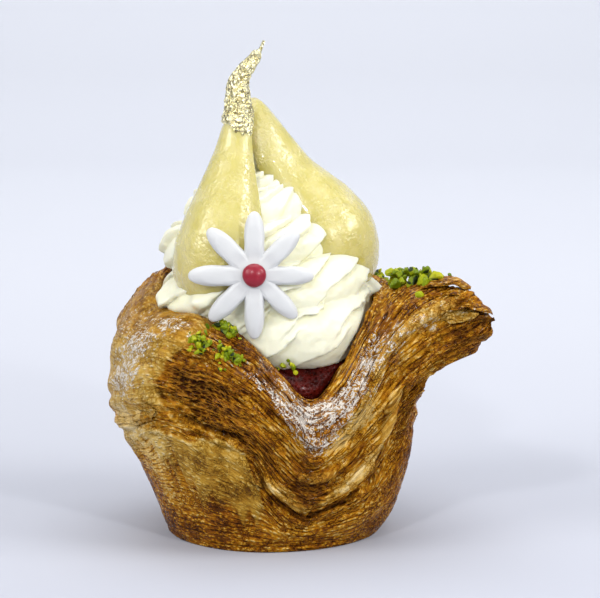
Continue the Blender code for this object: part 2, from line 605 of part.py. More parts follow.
def daisy_petals(collection, swell=0.0):
    """Eight pillowed petals in one piece of sugar paste."""
    angle, reach = daisy_outline().T
    part, height = np.array(DAISY_SECTION).T[..., None]
    radius = part * reach
    on_face = (height > 0) & (part < 0.7)
    dimple = DIMPLE * np.exp(-((radius - DIMPLE_R) / DIMPLE_WIDE) ** 2)
    points = in_space(radius, height - on_face * dimple, np.degrees(angle))
    sugar = material("sugar_petals", (0.86, 0.86, 0.88), 0.5)
    bm = grid_bmesh(points)
    swell_out(bm, swell)
    bmesh.ops.transform(bm, matrix=daisy_frame(), verts=bm.verts)
    return add_object("daisy_petals", bm, sugar, collection)


def daisy_eye(collection):
    """The red button in the middle, a flattened ball on the petals."""
    bm = bmesh.new()
    bmesh.ops.create_uvsphere(bm, u_segments=14, v_segments=8, radius=DAISY_EYE_R)
    for vert in bm.verts:
        vert.co.z *= EYE_UP if vert.co.z > 0 else EYE_DOWN
        vert.co.x *= 1.0 + EYE_SKEW * vert.co.y / DAISY_EYE_R
    face = DAISY_SECTION[-1][1]
    lift = Matrix.Translation((0, 0, face + GAP + EYE_DOWN * DAISY_EYE_R))
    bmesh.ops.transform(bm, matrix=daisy_frame() @ lift, verts=bm.verts)
    bmesh.ops.triangulate(bm, faces=bm.faces)
    red = material("red_sugar", (0.42, 0.02, 0.05), 0.35)
    return add_object("daisy_centre", bm, red, collection)


def main():
    for obj in list(bpy.data.objects):
        bpy.data.objects.remove(obj)
    collection = bpy.data.collections.new(PART)
    bpy.context.scene.collection.children.link(collection)
    angles = cup_columns(CUP_ANGLES)
    pastry_cup(collection, angles)
    jam(collection, angles[::2])
    cream_rosette(collection, angles[::2])
    for name in PEARS:
        pear_half(name, collection)
    gilded_stem(collection)
    daisy_petals(collection)
    daisy_eye(collection)
    for obj in collection.objects:
        obj.data.shade_smooth()
        obj.data.set_sharp_from_angle(angle=math.radians(SMOOTH_UP_TO))


main()
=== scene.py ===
"""Looks of the pear and cream tartlet.

Every piece is a surface worked out with numpy over one or two parameters, in
millimetres, and put into a mesh in metres. The cup follows the same rings as
its solid, with the thin layers, flakes and wrinkles of baked laminated dough
worked into it, and carries masks that its material reads: where the dough is
cut open, where it keeps its skin, where egg wash and icing sugar lie, and
where shade is painted into its holes, cracks and sunken sheets.
"""
import itertools
import math

import bpy
import numpy as np
from mathutils import Matrix, Vector


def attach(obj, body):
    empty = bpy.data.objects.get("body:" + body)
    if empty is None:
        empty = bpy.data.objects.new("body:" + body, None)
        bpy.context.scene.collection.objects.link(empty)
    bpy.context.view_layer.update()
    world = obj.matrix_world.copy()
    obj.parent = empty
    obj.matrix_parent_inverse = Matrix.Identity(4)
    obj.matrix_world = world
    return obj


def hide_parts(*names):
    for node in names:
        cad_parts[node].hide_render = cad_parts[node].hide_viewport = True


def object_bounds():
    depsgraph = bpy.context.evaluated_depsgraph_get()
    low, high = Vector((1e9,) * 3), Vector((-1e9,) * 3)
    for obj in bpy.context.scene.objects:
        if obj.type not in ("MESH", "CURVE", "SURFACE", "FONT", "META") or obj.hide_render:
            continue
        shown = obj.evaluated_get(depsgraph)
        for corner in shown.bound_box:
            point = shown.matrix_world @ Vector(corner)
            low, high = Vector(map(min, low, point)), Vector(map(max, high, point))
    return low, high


MM = 0.001

# ---------------------------------------------------------------- pastry cup
FOOT_R = 22.5                  # the flat base
FOOT_TURN_UP = 1.5             # how high its edge turns up
LIP_IN, LIP_DOWN = 2.2, 1.6    # from the crest to the lip
JAM_LINE_IN, JAM_LINE_DOWN, JAM_LINE_TOP = 4.6, 2.6, 43.0      # where the jam meets the dough
FLOOR_R, FLOOR_Z = 17.0, 31.0  # the floor under the jam
# wall_low, layers_low, layers_under, layers_mid, layers_top, crust and crest,
# as (radius, height) at each named angle
CUP_SECTIONS = {
    -180: ((29.2, 10.5), (34.4, 22.5), (38.6, 30.0), (39.5, 38.5), (36.9, 48.5), (32.8, 55.5), (28.3, 59.0)),
    -157: ((29.2, 10.5), (34.6, 23.5), (38.3, 30.5), (39.2, 38.5), (36.8, 48.5), (32.0, 54.5), (27.5, 56.5)),
    -133: ((29.0, 10.5), (35.0, 29.0), (37.8, 35.0), (38.8, 42.0), (36.2, 51.0), (31.5, 54.8), (27.0, 56.2)),
    -118: ((28.8, 10.0), (33.0, 25.5), (34.8, 32.0), (36.4, 40.5), (35.4, 50.0), (31.0, 53.2), (27.0, 54.4)),
    -99: ((28.0, 8.0), (31.3, 20.0), (33.0, 27.0), (34.6, 35.0), (34.8, 44.0), (31.5, 48.5), (28.2, 50.2)),
    -85: ((27.0, 5.0), (28.8, 10.0), (31.0, 17.5), (33.2, 27.0), (34.2, 36.0), (32.0, 41.2), (29.2, 43.4)),
    -72: ((26.6, 4.0), (27.8, 7.0), (30.4, 14.0), (32.4, 21.5), (33.0, 29.0), (32.0, 34.5), (30.0, 37.4)),
    -60: ((27.2, 4.5), (28.4, 8.0), (31.0, 16.0), (33.2, 25.0), (33.9, 33.0), (32.6, 39.0), (30.2, 41.5)),
    -46: ((28.8, 6.0), (30.4, 10.0), (33.5, 22.0), (36.5, 35.0), (37.0, 46.5), (34.5, 51.0), (30.5, 51.5)),
    -35: ((29.8, 8.0), (31.8, 13.0), (37.0, 36.0), (46.5, 46.5), (44.5, 57.0), (37.5, 60.0), (30.5, 58.0)),
    -27: ((30.5, 9.0), (33.0, 16.0), (44.0, 43.5), (59.0, 54.5), (51.0, 61.0), (42.0, 63.0), (31.0, 61.0)),
    -19: ((31.0, 9.5), (34.2, 22.0), (38.5, 40.5), (47.0, 48.5), (45.0, 58.0), (37.5, 62.0), (30.0, 61.2)),
    -8: ((31.2, 9.5), (34.8, 26.0), (36.5, 36.0), (39.0, 43.5), (38.5, 52.0), (34.5, 58.0), (29.5, 60.2)),
    18: ((31.0, 9.5), (34.2, 22.0), (36.2, 33.0), (37.6, 42.0), (36.6, 50.0), (33.0, 56.0), (29.0, 58.5)),
    63: ((29.2, 10.5), (33.5, 22.0), (38.5, 32.0), (42.0, 42.0), (40.0, 52.0), (35.0, 58.0), (29.0, 60.5)),
    108: ((28.3, 8.0), (31.3, 16.0), (34.5, 24.0), (36.2, 34.0), (35.0, 43.0), (31.8, 48.5), (28.5, 50.5)),
    153: ((29.0, 10.5), (33.5, 22.0), (38.0, 31.0), (40.0, 41.0), (38.0, 52.0), (33.5, 59.0), (28.8, 61.5)),
}
(CENTRE, FOOT, TURN, WALL, LAYERS_LOW, LAYERS_UNDER, LAYERS_MID, LAYERS_TOP,
 CRUST, CREST, LIP, JAM_LINE, FLOOR, WELL) = range(14)
# the grid over the cup: columns round it, rows from each ring to the next, and
# (angle, degrees wide, how much closer) where the columns stand closer
CUP_COLUMNS = 416
CUP_ROWS = {CENTRE: 2, FOOT: 3, TURN: 8, WALL: 30, LAYERS_LOW: 50, LAYERS_UNDER: 38,
            LAYERS_MID: 36, LAYERS_TOP: 28, CRUST: 18, CREST: 10, LIP: 8, JAM_LINE: 2, FLOOR: 2}
CLOSER = ((-27.0, 12.0, 2.2), (-95.0, 75.0, 0.9))
FINE_ANGLES = 1441             # that the columns' spread is worked out on
FOLD_DEPTH, FOLDS = 0.55, 5    # broad folds in the band of layers
FOLD_WANDER, FOLD_WANDER_SIZE, FOLD_SEED = 0.55, 26.0, 11
RIM_EDGE, RIM_EDGE_RINGS = 0.7, 0.22       # the band's upper edge
LUMPS, LUMP_SIZE, LUMP_SEED = 0.35, 17.0, 5
FLAP_STEP = 1.1                # the smooth lobe stands over the layers by this
FLAP_RISE, FLAP_FADE = 4.0, 28.0           # degrees behind its edge
# (ring, angle) along the lobe's edge
FLAP_EDGE = ((4.0, -112.0), (4.6, -122.0), (5.2, -130.0), (6.0, -133.0), (7.0, -122.0), (8.0, -118.0))

# fine work on the dough, in mm
SHEET = 1.25                   # from one dough layer to the next
SHEET_DEPTH = 0.55             # relief of single layers
TEAR_DEPTH = 0.75              # where layers have come apart
GAP_DEPTH = 0.42               # the grooves between one sheet and the next
BLISTER = 0.16                 # bubbles under the egg wash
WRINKLE = 0.5                  # folds of the washed skin
SKIN_STEP = 0.5                # the torn skin stands over the layers by this
# how far inside the solid's box the crust and the nuts stay, and over what depth they are drawn in
BOX_MARGIN, NUT_MARGIN, BOX_SOFT = 0.08, 1.7, 1.3
# noises over the dough: amount, size in mm and seed of each
LOBE_EDGE_WAVES = ((1.2, 3.0, 41),)
TORN_EDGE_WAVES = ((0.07, 4.0, 42), (0.03, 1.4, 43))
CRACK_WAVES = ((0.5, 3.0, 45),)
HOLLOW_WAVES = ((0.2, 8.0, 46),)
BLISTER_WAVES = ((1.0, 2.1, 47), (0.6, 1.0, 48))
SKIN_WAVES = ((0.12, 5.0, 49),)
BAKE_CLOUDS = ((0.35, 11.0, 51), (0.2, 4.0, 52))
SHEET_WANDER = ((0.055, 9.0, 21), (0.022, 3.6, 22))
# noises along the sheets: amount, cells for each (mm, mm, sheet), and seed of each
STREAKS = ((0.5, (0.12, 0.12, 0.95), 31), (0.45, (0.34, 0.34, 1.5), 32), (0.3, (0.7, 0.7, 2.2), 33))
TORN_FRINGE = ((0.35, (0.5, 0.5, 1.0), 44),)
TEAR_CELLS, TEAR_CELL_SEED = (0.46, 0.46, 1.75), 37
TEAR_PATCHES = ((1.0, (0.12, 0.12, 0.5), 38),)
GAP_PATCHES = ((1.0, (0.16, 0.16, 0.7), 39),)
# soft steps over those noises, and over the fraction of the fineness: start and length of each
TEAR_INSIDE, TEARS_WHERE = (0.14, 0.26), (-0.3, 0.6)
GAP_INSIDE, GAPS_WHERE, FINER_FROM = (0.32, 0.16), (-0.35, 0.5), (0.35, 0.3)
# soft steps over ring numbers, or degrees behind the lobe's edge: start and length of each
OUTSIDE_FROM, OUTSIDE_TO = (FOOT + 0.2, 0.6), (LIP, 0.6)
LOBE_EDGE, LOBE_END, LOBE_FROM = (-0.3, 1.6), (62.0, 25.0), (4.9, 0.5)
TORN_EDGE, TORN_FRINGE_STEP, TORN_LIFTED = (0.0, 0.07), (0.0, 0.35), (0.07, 0.10)
CUT_FROM, CUT_TO = (3.7, 0.6), (6.95, 0.3)
WASH_FROM, WASH_TO = (6.9, 0.35), (9.8, 0.5)
RIDGE_EDGE = (0.75, 0.25)      # as a part of the ridge's half width
CUT_BELOW = 0.16               # how open the dough is outside the cut band
# (angle, ring) along the top edge of the torn skin, and along its lower fringe
SKIN_TOP = ((-172, 4.5), (-155, 4.73), (-143, 4.30), (-133, 4.04), (-122, 4.23), (-112, 4.77),
            (-105, 4.87), (-101, 4.71), (-98.6, 4.34), (-95.3, 3.96), (-92, 3.3))
SKIN_LOW = ((-172, 3.6), (-150, 3.9), (-140, 3.5), (-128, 3.2), (-116, 3.0), (-105, 2.9), (-92, 3.2))
# rounded pale ridges: (angle, ring) points, half width, height
RIDGES = ((((-94.5, 4.30), (-90, 4.70), (-85, 4.85), (-80, 4.75), (-74, 4.62)), 1.7, 0.9),
          (((-77, 5.66), (-71, 5.76), (-64, 5.60)), 1.2, 0.6),
          (((-67, 4.86), (-58, 5.00), (-50, 5.02), (-43, 5.05), (-42, 5.5), (-42, 5.95)), 1.5, 0.9),
          (((-48, 6.9), (-44.7, 7.14), (-40.3, 7.18), (-35.3, 7.04), (-31.5, 6.92)), 1.7, 0.7),
          (((120, 5.0), (140, 5.3), (160, 5.2)), 1.5, 0.8),
          (((20, 5.5), (38, 5.2), (55, 5.6)), 1.6, 0.8))
# cracks between sheets, painted dark as shade: (angle, ring) points, half width, depth
CRACKS = ((((-72, 4.35), (-56, 4.52), (-42, 4.5), (-35, 4.55), (-35, 4.9), (-40, 5.9)), 0.9, 1.1),
          (((-103, 5.2), (-97, 4.9), (-93.5, 4.3), (-90, 4.0)), 0.8, 1.0),
          (((-94, 4.0), (-86, 4.35), (-78, 4.3), (-70, 4.1)), 0.7, 0.6),
          (((-132, 5.6), (-124, 5.0), (-112, 4.95), (-104, 5.1)), 0.8, 0.8),
          (((80, 4.9), (100, 4.6), (125, 4.8)), 0.9, 0.9),
          (((26, 4.5), (34, 4.4), (46, 4.7)), 0.9, 0.9))
# broad swells and hollows in mm: angle, ring, degrees wide, rings deep, amount
SWELLS = ((-28, 5.45, 6.5, 0.26, 2.2), (-27, 6.05, 4.5, 0.25, -1.5), (-31, 5.05, 7, 0.18, -0.8),
          (-24, 4.72, 9, 0.28, -1.2), (-14, 4.75, 14, 0.7, -0.9), (0, 4.25, 12, 0.25, -0.5),
          (-27, 6.35, 3.0, 0.2, -0.7), (-33, 6.95, 5, 0.16, 0.9), (-36, 6.6, 6, 0.22, -0.7),
          (-43, 6.9, 6, 0.25, 0.6), (-75, 7.4, 5, 0.4, -0.6))
TIP_CALM = ((-27, 6.0, 4.0, 0.45, 0.75),)  # the corner's tip has less of the furrows
# thin flakes on the walls: (angle, ring, lift in mm) along each, half width, half thickness in mm
WALL_FLAKES = ((((-149, 5.0, -0.2), (-144, 5.3, 0.35), (-138, 5.25, 0.5), (-134, 5.0, 0.7)), 2.6, 0.22),
               (((-140, 4.6, -0.2), (-137, 4.9, 0.3), (-133, 5.1, 0.5)), 1.8, 0.2),
               (((-33, 6.9, -0.3), (-31, 6.6, 0.5), (-29.5, 6.42, 0.9)), 2.4, 0.3),
               (((-60, 6.6, -0.3), (-56, 6.75, 0.4), (-51, 6.8, 0.4)), 1.6, 0.25),
               (((150, 6.9, -0.2), (153, 7.2, 0.3), (156, 7.5, 0.5)), 2.6, 0.25),
               (((66, 7.6, -0.3), (64, 7.2, 0.6), (63, 6.9, 1.8)), 3.2, 0.28))
# tongues over the folded-out corner: places along each in mm, half width, half thickness
CORNER_FLAKES = (
    (((34.5, -16.5, 61.6), (39.0, -19.5, 63.6), (43.0, -21.5, 63.9), (46.3, -22.5, 62.9)), 4.6, 1.1),
    (((39.0, -20.5, 61.2), (43.2, -23.0, 62.0), (45.8, -23.8, 61.1), (47.6, -24.0, 59.5)), 3.2, 0.45),
    (((42.0, -24.5, 58.6), (46.5, -26.0, 59.4), (49.5, -26.6, 58.3), (51.0, -26.8, 56.9)), 3.2, 0.5))
CORNER_UP = (0.15, -0.25, 0.95)            # the tongues' upper side
FLAKE_COLUMNS, FLAKE_ROWS = 40, 60
FLAKE_SEED, FLAKE_SEEDS = 120, 3           # the first flake's, and how many each uses
FLAKE_WAVES = ((0.45, 3.0, 1), (0.2, 1.1, 2))      # amount, size in mm and seed to add
# the masks of the flakes, for the pastry's material
WALL_FLAKE_MASKS = {"opened": 0.1, "skin": 0.85, "glaze": 0.25, "bake_and_shade": 0.55, "hollow_shade": 0.0, "sugar": 0.2,
                    "fineness": 0.0}
CORNER_FLAKE_MASKS = {"opened": 0.1, "skin": 0.3, "glaze": 0.6, "bake_and_shade": -0.05, "hollow_shade": 0.0, "sugar": 0.3,
                      "fineness": 0.0}
# light and dark of the bake: angle, ring, degrees wide, rings deep, amount
BAKE = ((-121, 6.05, 8, 0.65, -0.9), (-110, 5.8, 9, 0.6, -0.5), (-101, 5.5, 9, 0.6, -0.2),
        (-29, 6.15, 5, 0.5, -0.6), (-130, 2.4, 26, 0.6, -0.4), (-150, 5.8, 16, 1.2, 0.45),
        (-138, 3.9, 18, 0.55, 0.35), (-110, 3.7, 15, 0.6, -0.5), (-124, 4.75, 9, 0.25, 0.45),
        (-92, 5.9, 10, 0.6, 0.25), (-76, 6.4, 12, 0.4, 0.1), (-60, 6.2, 10, 0.7, 0.15),
        (-36, 6.95, 6, 0.35, 0.45), (-46, 3.2, 20, 0.7, 0.2), (-85, 2.1, 50, 0.6, -0.3),
        (-72, 5.2, 14, 0.5, -0.7), (-110, 8.2, 18, 0.6, -0.45), (-96, 8.3, 12, 0.5, -0.25),
        (-118, 7.6, 10, 0.5, 0.3), (-165, 6.5, 14, 1.4, 0.3), (-54, 5.02, 12, 0.2, 0.6),
        (-150, 4.6, 12, 0.4, 0.5), (-138, 3.4, 14, 0.5, 0.4), (-88, 4.8, 6, 0.2, 0.5),
        (-148, 4.0, 14, 0.7, 0.5), (-158, 4.6, 10, 0.5, 0.9), (-148, 5.1, 10, 0.4, 1.7),
        (-57, 6.4, 9, 0.4, 1.4), (-39, 7.1, 9, 0.16, 0.2), (-72, 7.9, 14, 0.7, 0.2),
        (-40, 8.2, 10, 0.6, -0.3), (-29, 7.6, 10, 0.5, -0.35), (-166, 3.2, 12, 0.7, -0.2),
        (70, 6.0, 14, 0.8, -0.5), (155, 6.1, 12, 0.7, -0.45), (110, 5.8, 16, 0.7, 0.2),
        (10, 6.2, 14, 0.8, -0.2), (30, 3.2, 30, 0.8, -0.2))
# how open the cut layers are, over a base of HOLLOWS_BASE: angle, ring, degrees wide, rings deep, amount
HOLLOWS_BASE = 0.30
HOLLOWS = ((-120, 6.0, 10, 0.75, 0.9), (-107, 5.7, 9, 0.65, 0.75), (-97, 5.3, 7, 0.6, 0.45),
           (-74, 5.3, 14, 0.35, 0.30), (-29, 6.0, 4.5, 0.5, 0.45), (-112, 4.95, 14, 0.25, 0.4),
           (-60, 4.5, 14, 0.3, 0.3), (70, 6.0, 14, 0.8, 0.6), (155, 6.1, 12, 0.7, 0.6))
# icing sugar: angle, ring, degrees wide, rings deep, amount
SUGAR = ((-77, 7.6, 8, 0.9, 1.1), (-70, 8.0, 9, 0.6, 0.9), (-62, 7.6, 9, 0.7, 0.9),
         (-52, 7.5, 8, 0.7, 0.85), (-43, 7.3, 6, 0.5, 0.45), (-37, 6.95, 5, 0.35, 0.3),
         (-90, 7.15, 8, 0.4, 0.6), (-100, 7.05, 6, 0.3, 0.55), (-85, 8.4, 8, 0.4, 0.45),
         (-72, 6.7, 8, 0.3, 0.55), (-147, 7.0, 9, 0.45, 1.0), (-134, 7.75, 9, 0.4, 0.9),
         (-158, 6.1, 10, 0.5, 0.95), (-143, 6.1, 8, 0.4, 0.6), (-135, 7.0, 8, 0.5, 0.45),
         (-125, 7.4, 5, 0.3, 0.5), (-150, 8.0, 12, 0.5, 0.6), (-76, 5.9, 5, 0.3, 0.4),
         (-66, 6.6, 6, 0.4, 0.5), (-95, 7.9, 10, 0.4, 0.4), (-84, 7.0, 6, 0.35, 0.6),
         (-48, 6.7, 10, 0.35, 0.4), (-46, 8.2, 8, 0.5, 0.5), (-150, 6.6, 10, 0.6, 0.5),
         (-148, 5.3, 8, 0.5, 0.45), (-170, 7.4, 12, 0.7, 0.6), (-30, 6.6, 5, 0.3, 0.35),
         (30, 7.6, 22, 0.6, 0.6), (80, 7.4, 20, 0.6, 0.6), (108, 7.8, 12, 0.7, 0.8),
         (150, 7.5, 20, 0.6, 0.6))

# ------------------------------------------------------------- jam and cream
JAM_TOP, JAM_SHOULDER = 46.5, 5.0          # height, and how square its dome's shoulder is
JAM_COLUMNS, JAM_ROWS = 240, 64
JAM_CLEAR_SIDE, JAM_CLEAR_FLOOR = 0.4, 0.6 # mm from the dough
JAM_LUMPS = ((0.45, 3.2, 61), (0.22, 1.3, 62))
CREAM_EYE = (0.5, 0.0, 62.0)               # every point of the rosette is seen from here
CREAM_COLUMNS, CREAM_ROWS = 440, 216
# the piped rope at the start of each turn: radius of the turn, height, thickness, shift to +X
CREAM_TURNS = ((19.5, 50.5, 7.4, 0.0), (19.6, 58.0, 7.0, 0.5), (15.6, 68.5, 6.6, -4.8),
               (10.0, 77.0, 6.2, -5.0), (3.8, 82.0, 5.2, -3.6), (0.0, 86.8, 4.4, -2.8))
CREAM_CORE_R = 9.0
CREAM_RIDGE, CREAM_RIDGES, CREAM_LEAN = 2.1, 2.9, -1.9         # height, number and climb of the grooves
GROOVE_CURVE, GROOVE_CUT, GROOVE_LEVEL = 0.55, (0.0, 0.10), 0.6
CREAM_CALM, CALM_TURNS = 0.45, (2.0, 1.6)  # share by which the upper turns are flatter, and where
GROOVE_WAVES = ((0.30, 6.5, 73), (0.06, 1.5, 74))
CREAM_WAVES = ((0.35, 3.2, 71), (0.14, 1.2, 72))
# the cream that laps over the left rim: angle, degrees, height, mm, and how far it reaches
SPILL_AT, SPILL_WIDE, SPILL_Z, SPILL_TALL, SPILL = -143.0, 24.0, 58.5, 4.0, 3.6
SPILL_WAVES = ((0.35, 2.6, 75),)
SPILL_FREE = (0.2, 0.3)                    # where the cream is free of the rim
RIM_CLEAR, RIM_LOWER, JAM_OVERLAP = 0.8, 1.4, 0.3  # mm inside the rim, lower at the lap, into the jam
RIM_FALL, RIM_EDGE_WIDE = 0.25, 0.5        # how the lap falls away outside the rim

# --------------------------------------------------------------- pear halves
# half widths in mm at shares of the length from the stem end
PEAR_PROFILES = {
    "pear_half_left": ((0.0, 0.0), (0.004, 2.6), (0.03, 3.7), (0.15, 4.9), (0.28, 6.6), (0.42, 8.7),
                       (0.56, 10.6), (0.69, 11.7), (0.81, 11.3), (0.91, 9.0), (0.975, 5.2), (1.0, 0.0)),
    "pear_half_right": ((0.0, 0.0), (0.005, 2.4), (0.04, 3.8), (0.15, 5.0), (0.25, 5.8), (0.36, 6.8),
                        (0.48, 9.3), (0.58, 11.3), (0.71, 12.4), (0.83, 10.9), (0.94, 6.8), (1.0, 0.0)),
}
# stem end, blossom end, and the way that the round side faces
PEARS = {
    "pear_half_left": ((-7.6, -5.2, 99.5), (-13.0, -16.0, 55.5), (-0.50, -0.86, 0.10)),
    "pear_half_right": ((-6.8, 3.0, 103.3), (21.0, 0.0, 57.3), (0.76, -0.54, 0.37)),
}
PEAR_COLUMNS, PEAR_ROWS = 180, 150
PEAR_LENGTH = 45.0             # about, to spread the rows
PEAR_EDGE, PEAR_EDGE_FULL = 1.0, 3.0       # softness of the cut face's edge, full where the half is this wide
PEAR_LUMPS = ((1.0, (1, 1, 0.35), 4.5, 0), (0.4, (1, 1, 0.5), 1.6, 1))     # amount, stretch, size, seed to add
PEAR_SWELL, PEAR_SHRINK, PEAR_THIN = 0.016, 0.012, 0.99    # shares of the half width
NECK_FULLER = {"pear_half_right": 0.5}     # share by which one side of the neck is fuller
NECK_AT, NECK_WIDE = 0.28, 0.16            # where on the length, and over how much of it

# ------------------------------------------------------- stem, daisy, crumbs
# places along the stem with its radius there
STEM_PATH = ((-8.4, -6.9, 96.4, 3.9), (-8.1, -6.1, 98.4, 4.1), (-7.7, -5.2, 100.6, 3.75),
             (-8.0, -4.5, 104.2, 3.3), (-7.9, -4.0, 107.6, 2.85), (-6.6, -3.4, 110.8, 2.15),
             (-4.6, -2.9, 113.2, 1.75), (-3.5, -2.5, 115.0, 1.35), (-2.7, -2.2, 116.1, 0.55),
             (-2.2, -2.1, 117.2, 0.45), (-1.8, -2.1, 118.2, 0.35))
STEM_COLUMNS, STEM_ROWS = 120, 190
# the leaf's crumples: size of the cells in mm, seed, depth
CRUMPLES = (((2.1, 2.1, 2.9), 81, 0.75), ((0.8, 0.8, 1.1), 82, 0.40))
CRUMPLE_EDGE, CRUMPLE_DEPTH, CRUMPLE_FULL_R = 0.6, 0.62, 2.2   # width of an edge, depth, stem radius
# the leaf's lower edge in mm: slant, ragged by, raised by, and how much of the stem is drawn along
HANG, HANG_RAGGED, HANG_RAISED, HANG_RUN = -2.5, 0.8, 0.3, 4.0
HANG_WAVES, HANG_SEED = 3.0, 83
DAISY_AT, DAISY_TILT = (-3.8, -25.2, 66.0), 10.0
# a petal's edge from its root to its tip, as places along and beside its middle
PETAL_SHAPE = ((5.6, 2.32), (7.4, 2.3), (9.6, 2.38), (11.8, 2.1), (13.6, 1.5), (14.6, 0.75))
PETAL_LENGTHS = (1.0, 1.02, 1.03, 0.98, 0.985, 0.925, 0.925, 0.965)
# the daisy's section: share of the way out, height
DAISY_SECTION = ((0.0, 0.0), (0.93, 0.0), (1.0, 0.45), (0.95, 0.9), (0.78, 1.63), (0.45, 1.9), (0.0, 1.9))
PETAL_TIP = 0.25               # how far the tip bulges past its edge
PETAL_COLUMNS, DAISY_ROWS, DAISY_REACH = 48, 70, 12
FACE_FROM, PETAL_WAVES = (1.2, 0.6), ((0.03, 2.4, 91),)        # heights, and noises on the face
DIMPLE, DIMPLE_R, DIMPLE_WIDE = 0.30, 4.2, 1.6                 # the ring pressed in round the button
DAISY_EYE_R, EYE_UP, EYE_DOWN, EYE_SKEW = 2.75, 0.62, 0.12, 0.06
EYE_GAP, EYE_SINK = 0.3, 0.28
EYE_COLUMNS, EYE_ROWS = 72, 48             # the eye is the red button
# clusters of nuggets: angle, ring, degrees wide, rings deep, number, mean radius
CRUMB_CLUSTERS = ((-19.0, 8.35, 10.0, 0.5, 11, 1.8), (-28.0, 8.1, 4.0, 0.35, 3, 1.6),
                  (-112.5, 8.6, 5.0, 0.2, 7, 1.15),
                  (-117.5, 7.25, 3.8, 0.25, 6, 1.15), (-106.0, 7.2, 5.0, 0.22, 7, 1.1),
                  (45.0, 8.5, 18.0, 0.30, 4, 1.3), (96.0, 8.4, 18.0, 0.30, 4, 1.2))
CRUMB_SINK = 0.45
CRUMBS_ROUND, CRUMB_SPREAD = 6, (0.62, 0.65)               # fine crumbs for each nugget, and their spread
STRAY_CRUMBS = ((3.5, -26.3, 45.2), (-14.0, -26.0, 54.0))  # little heaps at the cream's foot
STRAY_COUNT, STRAY_SPREAD = 7, (1.5, 0.7, 0.9)
NUT_PLANES, NUT_DEPTHS, NUT_REACH = 14, (0.55, 0.90), 1.15 # flat faces; depths as shares of the radius
NUT_SIDES = ((0.9, 0.7, 0.6), (1.35, 1.0, 0.9))            # least and most of length, width and thickness
NUT_SHARP = 28.0                                           # degrees of a sharp edge
NUT_SKINNED, NUT_SKIN_SIDE = 0.45, (0.45, 0.1)             # share with skin on, and where on them
NUT_SPARE_DRAWS = 2 + 3 + 36                               # that the solid's nuggets use for their shapes


# ------------------------------------------------------------ noise on arrays
def hashed(cell, seed):
    """A repeatable number from 0 to 1 for every whole-number cell (..., 3)."""
    n = cell.astype(np.int64)
    h = n[..., 0] * 73856093 ^ n[..., 1] * 19349663 ^ n[..., 2] * 83492791 ^ (seed * 40503 + 17)
    h = ((h ^ (h >> 15)) * 73244475) & 0xFFFFFFFF
    h = ((h ^ (h >> 13)) * 45679157) & 0xFFFFFFFF
    return (h ^ (h >> 16)) / 4294967296.0


def noise(points, size, seed):
    """Smooth noise, -1 to 1: random values on a lattice, blended by smoothsteps."""
    p = np.asarray(points, float) / size
    base = np.floor(p)
    f = p - base
    f = f * f * (3 - 2 * f)
    total = 0.0
    for corner in itertools.product((0, 1), repeat=3):
        corner = np.array(corner)
        total = total + np.prod(np.where(corner, f, 1 - f), axis=-1) * hashed(base + corner, seed)
    return 2 * total - 1


def waves(points, table):
    """Sum of noises over points: amount, size and seed of each."""
    return sum(amount * noise(points, size, seed) for amount, size, seed in table)


def drawn_waves(place, table):
    """Sum of noises over stretched places: amount, stretch and seed of each."""
    return sum(amount * noise(place * stretch, 1.0, seed) for amount, stretch, seed in table)


def cells(points, seed):
    """Distances to the nearest and second nearest of one random point a lattice cell."""
    base = np.floor(points)
    near = np.full(points.shape[:-1], 9.0)
    second = near.copy()
    for step in itertools.product((-1, 0, 1), repeat=3):
        cell = base + step
        at = cell + np.stack([hashed(cell, seed + k) for k in range(3)], axis=-1)
        distance = np.linalg.norm(at - points, axis=-1)
        second = np.minimum(second, np.maximum(near, distance))
        near = np.minimum(near, distance)
    return near, second


def smooth_noise(x, y, z, seed, size):
    """Gentle lumps: six sine waves with seeded directions, about -1 to 1."""
    rng = np.random.default_rng(seed)
    total = np.zeros_like(x, dtype=float)
    for _ in range(6):
        wave = rng.normal(size=3)
        wave *= 2 * math.pi / (size * rng.uniform(0.7, 1.5) * np.linalg.norm(wave))
        total += np.sin(wave[0] * x + wave[1] * y + wave[2] * z + rng.uniform(0, 2 * math.pi))
    return total / 3.0


def ramp(values, start, length):
    """0 up to the start, 1 from one length further on, and straight between."""
    return np.clip((values - start) / length, 0.0, 1.0)


def ease(values, start, length):
    """As ramp, with soft ends."""
    t = ramp(values, start, length)
    return t * t * (3 - 2 * t)


def run_along(points):
    """Length along a run of points, from 0 at the first."""
    return np.concatenate(([0.0], np.cumsum(np.linalg.norm(np.diff(points, axis=0), axis=1))))


# ------------------------------------------------------------------- meshes
def closed_ends(grid):
    """The grid with the points of its first and of its last row brought to their middle."""
    grid[[0, -1]] = grid[[0, -1]].mean(axis=1, keepdims=True)
    return grid


def skin_polygons(rows, columns, start=0):
    """Polygons of a grid whose columns close: triangles round each pole, and quads between."""
    body = np.arange((rows - 2) * columns).reshape(rows - 2, columns) + 1 + start
    last = 1 + start + body.size
    beside = np.roll(body, -1, axis=1)
    return [np.stack((np.full(columns, start), beside[0], body[0]), axis=-1),
            np.stack((body[:-1], beside[:-1], beside[1:], body[1:]), axis=-1).reshape(-1, 4),
            np.stack((np.full(columns, last), body[-1], beside[-1]), axis=-1)]


def pole_to_pole(values):
    """A grid's values in one run: one for each pole, and the rows between them."""
    values = np.asarray(values, float)
    inner = values[1:-1].reshape((-1,) + values.shape[2:])
    return np.concatenate((values[:1, 0], inner, values[-1:, 0]))


def keep_attribute(mesh, key, values):
    """Keep a number or a vector for each point of the mesh under a name."""
    kind, slot = ("FLOAT_VECTOR", "vector") if np.ndim(values) == 2 else ("FLOAT", "value")
    mesh.attributes.new(key, kind, "POINT").data.foreach_set(slot, values.astype(np.float32).ravel())


